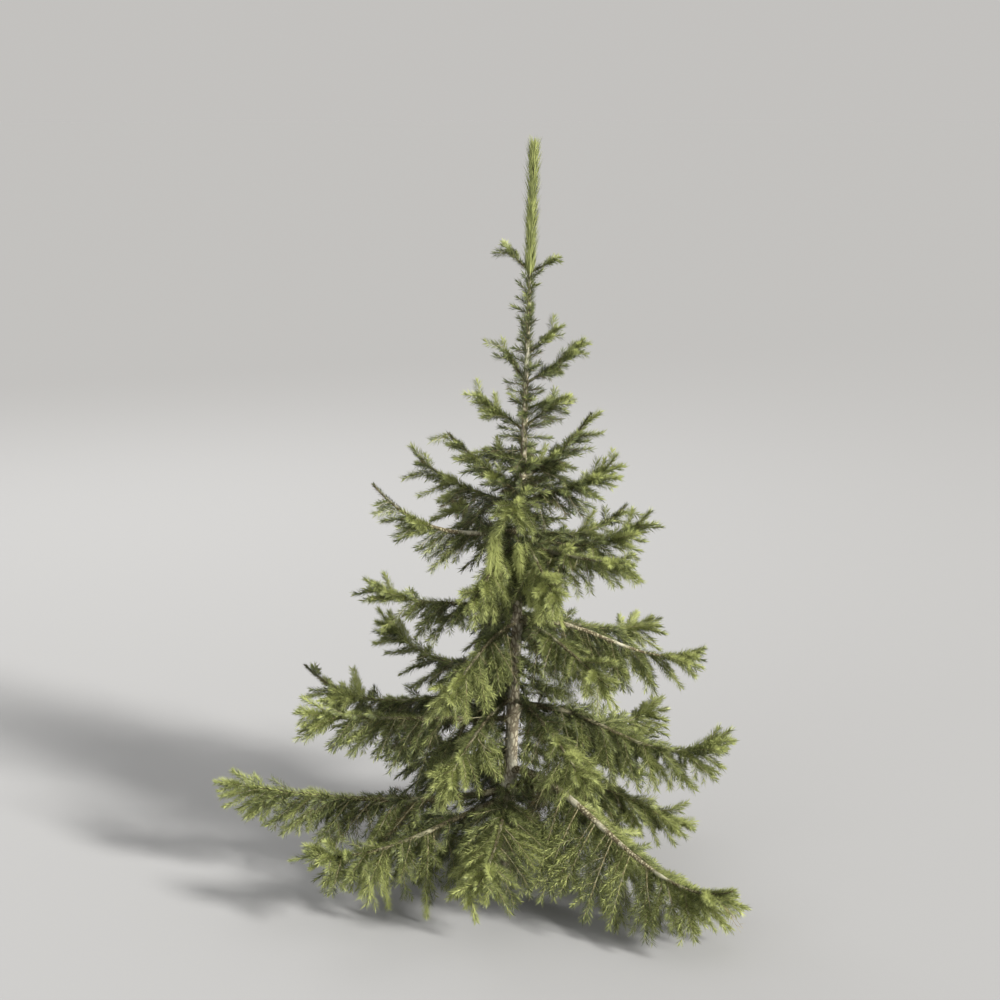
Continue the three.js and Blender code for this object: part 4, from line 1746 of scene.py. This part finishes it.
    def build_needles(self, bearing: list[Shoots], finishes: dict[Tone, bpy.types.Material]) -> int:
        """Build all needles, joined by tone into pieces of fewer triangles than the limit.

        Args:
            bearing: The shoots that bear them, in the order of the coats.
            finishes: The material of each tone.

        Returns:
            Number of needles.
        """
        rng = np.random.default_rng(NEEDLE_SEED)
        grown = [coat.grow(shoots, rng) for coat, shoots in zip(self.coats, bearing)]
        grown.append(self.leader_coat.grow(rng))
        needles = np.concatenate([points for points, _ in grown])
        light = np.concatenate([light for _, light in grown])
        kept = needles[:, :, 2].min(axis=1) > GROUND_CLEARANCE
        for opening in self.openings:
            kept &= ~opening.holds(needles[:, 2])
        needles = needles[kept]
        light = light[kept]
        foliage = [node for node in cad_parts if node.startswith("foliage_") or node == "leader"]
        brighter = np.inf
        for tone in Tone:
            of_tone = needles[(light >= tone.value) & (light < brighter)]
            brighter = tone.value
            parts = max(1, math.ceil(2 * len(of_tone) / MOST_TRIANGLES))
            for number, part in enumerate(np.array_split(of_tone, parts), start=1):
                corner = 4 * np.arange(len(part))[:, None]
                faces = np.concatenate([corner + [0, 1, 2], corner + [0, 2, 3]])
                name = f"needles_{tone.name.lower()}_{number}"
                piece = mesh_piece(name, part.reshape(-1, 3), [faces], smooth=False)
                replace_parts(dressed(piece, finishes[tone]), *foliage)
        return len(needles)


@dataclass(frozen=True)
class Lamp:
    """A square soft light that faces the crown.

    Attributes:
        name: Its name.
        place: Where it stands.
        size: Its edge.
        power: Its power in watts.
        colour: Its colour.
        aim: What it faces.
    """

    name: str
    place: Triple
    size: float
    power: float
    colour: Triple
    aim: Triple = (0.05, 0.0, 0.9)

    def build(self) -> None:
        """Add the light to the scene."""
        made = bpy.data.lights.new(self.name, "AREA")
        made.shape = "SQUARE"
        made.size = self.size
        made.energy = self.power
        made.color = self.colour
        lamp = placed(self.name, made)
        way = np.array(self.aim) - np.array(self.place)
        tilt = math.acos(-way[2] / np.linalg.norm(way))
        lamp.location = self.place
        lamp.rotation_euler = (tilt, 0.0, math.atan2(way[1], way[0]) - math.pi / 2)


@dataclass(frozen=True)
class Studio:
    """Pale floor, soft light and the camera.

    Attributes:
        target: What the camera looks at.
        distance: Camera to target.
        elevation: Degrees that the camera looks down.
        focal_pixels: Focal length in pixels of the square picture.
        picture: Width of the picture in pixels.
        sensor: Width of the sensor in millimetres.
        key_strength: Strength of the main light.
        key_colour: Its colour.
        key_breadth: Degrees of sky that it fills.
        key_elevation: Degrees above the floor from which it comes.
        key_turn: Degrees to the right of the camera from which it comes.
        lamps: The softer lights.
        sky_colour: Colour of the sky.
        sky_strength: Strength of its light, with which the far floor and the sky look the same.
        floor_colour: Colour of the floor.
        floor_radius: Radius of the floor.
        floor_sides: Corners of its rim.
        floor_drop: How far it lies under the tree's foot.
    """

    target: Triple = (-0.009, 0.0, 1.16)
    distance: float = 6.0
    elevation: float = 12.0
    focal_pixels: float = 2072.0
    picture: float = 1000.0
    sensor: float = 36.0
    key_strength: float = 6.6
    key_colour: Triple = (1.0, 0.98, 0.95)
    key_breadth: float = 11.0
    key_elevation: float = 26.0
    key_turn: float = 50.0
    lamps: tuple[Lamp, ...] = (
        Lamp("fill", (-4.5, -7.0, 3.2), 5.0, 220.0, (0.95, 0.97, 1.0)),
        Lamp("back", (-2.5, 6.0, 5.5), 4.0, 160.0, (0.97, 0.98, 1.0)),
    )
    sky_colour: Triple = (0.975, 0.9555, 0.926)
    sky_strength: float = 0.56
    floor_colour: Triple = (0.37, 0.37, 0.37)
    floor_radius: float = 80.0
    floor_sides: int = 96
    floor_drop: float = 0.0008

    def build(self) -> None:
        """Set up the floor, the sky, the lights and the camera."""
        self.build_floor()
        self.build_sky()
        self.build_key()
        for lamp in self.lamps:
            lamp.build()
        self.build_camera()

    def build_floor(self) -> None:
        """A wide pale disc: a rim of points at equal angles and one face."""
        angle = np.linspace(0, 2 * math.pi, self.floor_sides, endpoint=False)
        far = self.floor_radius
        rim = np.stack([far * np.cos(angle), far * np.sin(angle), 0 * angle - self.floor_drop], axis=-1)
        piece = mesh_piece("floor", rim, [np.arange(self.floor_sides)[None, :]], smooth=False)
        made, shader = shader_of("pale_floor")
        shader.inputs["Base Color"].default_value = (*self.floor_colour, 1.0)
        shader.inputs["Roughness"].default_value = 1.0
        shader.inputs["Specular IOR Level"].default_value = 0.05
        piece.data.materials.append(made)
        piece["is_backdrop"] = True

    def build_sky(self) -> None:
        """An even pale sky, shown with the standard curve."""
        made = bpy.data.worlds.new("studio")
        made.use_nodes = True
        backdrop = made.node_tree.nodes["Background"]
        backdrop.inputs["Color"].default_value = (*self.sky_colour, 1.0)
        backdrop.inputs["Strength"].default_value = self.sky_strength
        bpy.context.scene.world = made
        bpy.context.scene.view_settings.view_transform = "Standard"

    def build_key(self) -> None:
        """The main light: broad and low, from the right and the front."""
        made = bpy.data.lights.new("key", "SUN")
        made.energy = self.key_strength
        made.angle = math.radians(self.key_breadth)
        made.color = self.key_colour
        turn = math.radians(self.key_turn)
        placed("key", made).rotation_euler = (math.radians(90 - self.key_elevation), 0.0, turn)

    def build_camera(self) -> None:
        """Place the camera at the photograph's angle and make it the scene's."""
        tilt = math.radians(self.elevation)
        made = bpy.data.cameras.new("camera")
        made.sensor_width = self.sensor
        made.lens = self.focal_pixels * self.sensor / self.picture
        eye = placed("camera", made)
        x, y, z = self.target
        eye.location = (x, y - self.distance * math.cos(tilt), z + self.distance * math.sin(tilt))
        eye.rotation_euler = (math.pi / 2 - tilt, 0.0, 0.0)
        bpy.context.scene.camera = eye


TRUNK = Trunk()
WOOD = LimbWood()

BOUGHS = [
    Bough("low_left", 0.28, 183, 0.88, (-0.22, 0.41, -0.14), 0.02, 0.215, 36, 0.17),
    Bough("low_front_left", 0.248, 222, 0.73, (0.05, -0.54, 0.51), -0.06, 0.215, 46, 0.17),
    Bough("low_front", 0.296, 267, 0.605, (0.07, -0.57, 0.36), -0.1, 0.215, 26, 0.17),
    Bough("low_front_right", 0.342, 312, 0.885, (0.23, -1.46, 1.1), 0.02, 0.285, 26, 0.15),
    Bough("low_right", 0.284, 350, 0.56, (0.58, -1.36, 0.59), 0.04, 0.215, 28, 0.2),
    Bough("low_back_right", 0.256, 48, 0.73, (0.1, -0.34, 0.3), 0.05, 0.215, 34, 0.19),
    Bough("low_back_left", 0.3, 124, 0.76, (0.08, -0.3, 0.3), -0.05, 0.215, 34, 0.19),
    Bough("second_right", 0.522, 345, 0.66, (0.48, -2.05, 1.58), 0.02, 0.195, 34, 0.19),
    Bough("second_back_right", 0.54, 36, 0.61, (-0.06, -1.07, 0.99), 0.04, 0.185, 32, 0.2),
    Bough("second_back", 0.522, 96, 0.57, (0.1, -0.4, 0.35), 0.04, 0.185, 38, 0.21),
    Bough("second_back_left", 0.548, 157, 0.7, (0.2, -1.08, 0.95), 0.02, 0.19, 34, 0.19),
    Bough("second_left", 0.498, 196, 0.66, (0.1, -0.06, 0.08), 0, 0.19, 60, 0.17),
    Bough("second_front_left", 0.56, 240, 0.43, (0.1, -0.72, 0.2), 0, 0.175, 48, 0),
    Bough("second_front", 0.555, 296, 0.45, (0.2, -0.85, 0.3), 0.06, 0.18, 44, 0),
    Bough("between_back_left", 0.655, 150, 0.51, (-0.06, -0.3, 0.59), -0.06, 0.15, 30, 0),
    Bough("third_right", 0.78, 352, 0.56, (0.45, -1.76, 1.24), 0.02, 0.185, 34, 0.2),
    Bough("third_back_right", 0.806, 40, 0.575, (-0.13, -0.5, 0.45), 0.02, 0.17, 38, 0.21),
    Bough("third_back", 0.778, 94, 0.5, (0.1, -0.36, 0.34), 0.04, 0.17, 40, 0),
    Bough("third_left", 0.805, 187, 0.455, (0.63, -1.23, 0.92), 0.02, 0.16, 36, 0.23),
    Bough("third_front_left", 0.79, 236, 0.415, (0.1, -0.84, 0.34), 0.02, 0.16, 56, 0),
    Bough("third_front_right", 0.8, 308, 0.43, (0.1, -0.68, 0.3), 0.03, 0.17, 50, 0),
    Bough("fourth_right", 1.046, 354, 0.39, (-0.07, -0.36, 0.7), 0, 0.145, 34, 0),
    Bough("fourth_back_right", 1.062, 30, 0.38, (-0.14, -0.21, 0.5), 0, 0.14, 34, 0),
    Bough("fourth_back_left", 1.04, 122, 0.4, (0.1, -0.3, 0.4), 0.03, 0.15, 40, 0),
    Bough("fourth_left", 1.066, 194, 0.445, (0.01, -0.14, 0.53), 0, 0.135, 56, 0.28),
    Bough("fourth_front_left", 1.034, 243, 0.345, (0, -0.6, 0.2), 0, 0.15, 70, 0),
    Bough("fourth_front", 1.048, 287, 0.335, (0, -0.66, 0.3), 0.02, 0.155, 74, 0),
    Bough("fourth_front_right", 1.03, 324, 0.4, (-0.12, 0.12, -0.02), 0, 0.14, 42, 0),
    Bough("fifth_right", 1.15, 346, 0.29, (0.64, -1.14, 1.1), 0, 0.13, 30, 0),
    Bough("fifth_right_high", 1.222, 12, 0.215, (0.53, 0.21, 0.21), 0, 0.12, 26, 0),
    Bough("fifth_back", 1.166, 84, 0.27, (0.4, -0.3, 0.3), 0, 0.13, 30, 0),
    Bough("fifth_back_left", 1.136, 158, 0.35, (0.33, -0.32, 0.42), 0, 0.13, 44, 0),
    Bough("fifth_left_high", 1.172, 192, 0.225, (0.87, -0.16, 0.2), 0, 0.105, 20, 0),
    Bough("fifth_front", 1.16, 262, 0.225, (0.3, -0.5, 0.2), 0, 0.12, 44, 0),
    Bough("sixth_left", 1.362, 176, 0.142, (0.9, -0.3, 0.2), 0, 0.085, 16, 0),
    Bough("sixth_left_low", 1.266, 148, 0.135, (0.45, -0.3, 0.1), 0, 0.085, 26, 0),
    Bough("sixth_right", 1.372, 14, 0.132, (0.9, -0.3, 0.1), 0, 0.075, 14, 0),
    Bough("seventh_right", 1.502, 356, 0.176, (0.6, 0, 0.2), 0, 0.062, 10, 0),
    Bough("seventh_left", 1.506, 184, 0.07, (1.5, 0, 0.1), 0, 0.04, 6, 0),
    Bough("seventh_right_high", 1.582, 16, 0.096, (0.8, 0, 0.05), 0, 0.042, 8, 0),
    Bough("top_left", 1.822, 186, 0.074, (0.9, 0, 0.2), 0, 0.034, 6, 0),
    Bough("top_right", 1.818, 2, 0.076, (0.5, 0, 0.1), 0, 0, 0, 0),
]

FULL_SPREAD = 0.15  # a bough with side shoots of this length is a strong one
THICK_LIMB = "fourth_left"
CLEAR_LIMBS = frozenset(["low_front_right", "third_right", "fourth_left"])
THIN_END = 0.095
THIN_ENDED = frozenset(
    [
        "second_back_left",
        "fourth_left",
        "fourth_back_right",
        "fifth_left_high",
        "fifth_back_left",
        "fifth_right_high",
    ]
)

NEEDLE_FINISHES = [
    NeedleFinish(Tone.FRESH, (0.350, 0.382, 0.128)),
    NeedleFinish(Tone.LIGHT, (0.240, 0.268, 0.089)),
    NeedleFinish(Tone.OLIVE, (0.152, 0.175, 0.058)),
    NeedleFinish(Tone.DEEP, (0.088, 0.106, 0.037)),
    NeedleFinish(Tone.SHADE, (0.042, 0.054, 0.021)),
    NeedleFinish(Tone.DRY, (0.115, 0.092, 0.042)),
]

TRUNK_BARK = BarkFinish("trunk_bark", (0.50, 0.46, 0.33), (0.20, 0.17, 0.115), (0.58, 0.57, 0.45), 90)
BOUGH_BARK = BarkFinish("bough_bark", (0.38, 0.35, 0.22), (0.10, 0.08, 0.045), (0.48, 0.46, 0.34), 120)
SHADED_BARK = BarkFinish("shaded_bark", (0.19, 0.17, 0.095), (0.07, 0.058, 0.03), (0.26, 0.25, 0.16), 120)
TWIG_BARK = BarkFinish("twig_bark", (0.36, 0.33, 0.18), (0.22, 0.18, 0.09), (0.42, 0.40, 0.26), 420)


def corners(box: tuple) -> list[list[float]]:
    """A box's two corners as plain lists."""
    return [[float(value) for value in corner] for corner in box]


def main() -> None:
    """Build the tree and the studio, and report each piece."""
    logging.basicConfig(level=logging.INFO, format="%(name)s: %(message)s")
    solids_box = corners(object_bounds())
    Studio().build()
    TRUNK.build(BOUGHS, TRUNK_BARK.material())
    crown = Crown(BOUGHS)
    crown.build_limbs(BOUGH_BARK.material(), SHADED_BARK.material())
    woody, bearing = crown.grow()
    crown.build_twigs(woody, TWIG_BARK.material())
    finishes = {finish.tone: finish.material() for finish in NEEDLE_FINISHES}
    count = crown.build_needles(bearing, finishes)
    log.info("%d needles on %d shoots", count, sum(len(shoots) for shoots in bearing))
    {"solids": solids_box, "visual": corners(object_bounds())}


if __name__ == "__main__":
    main()
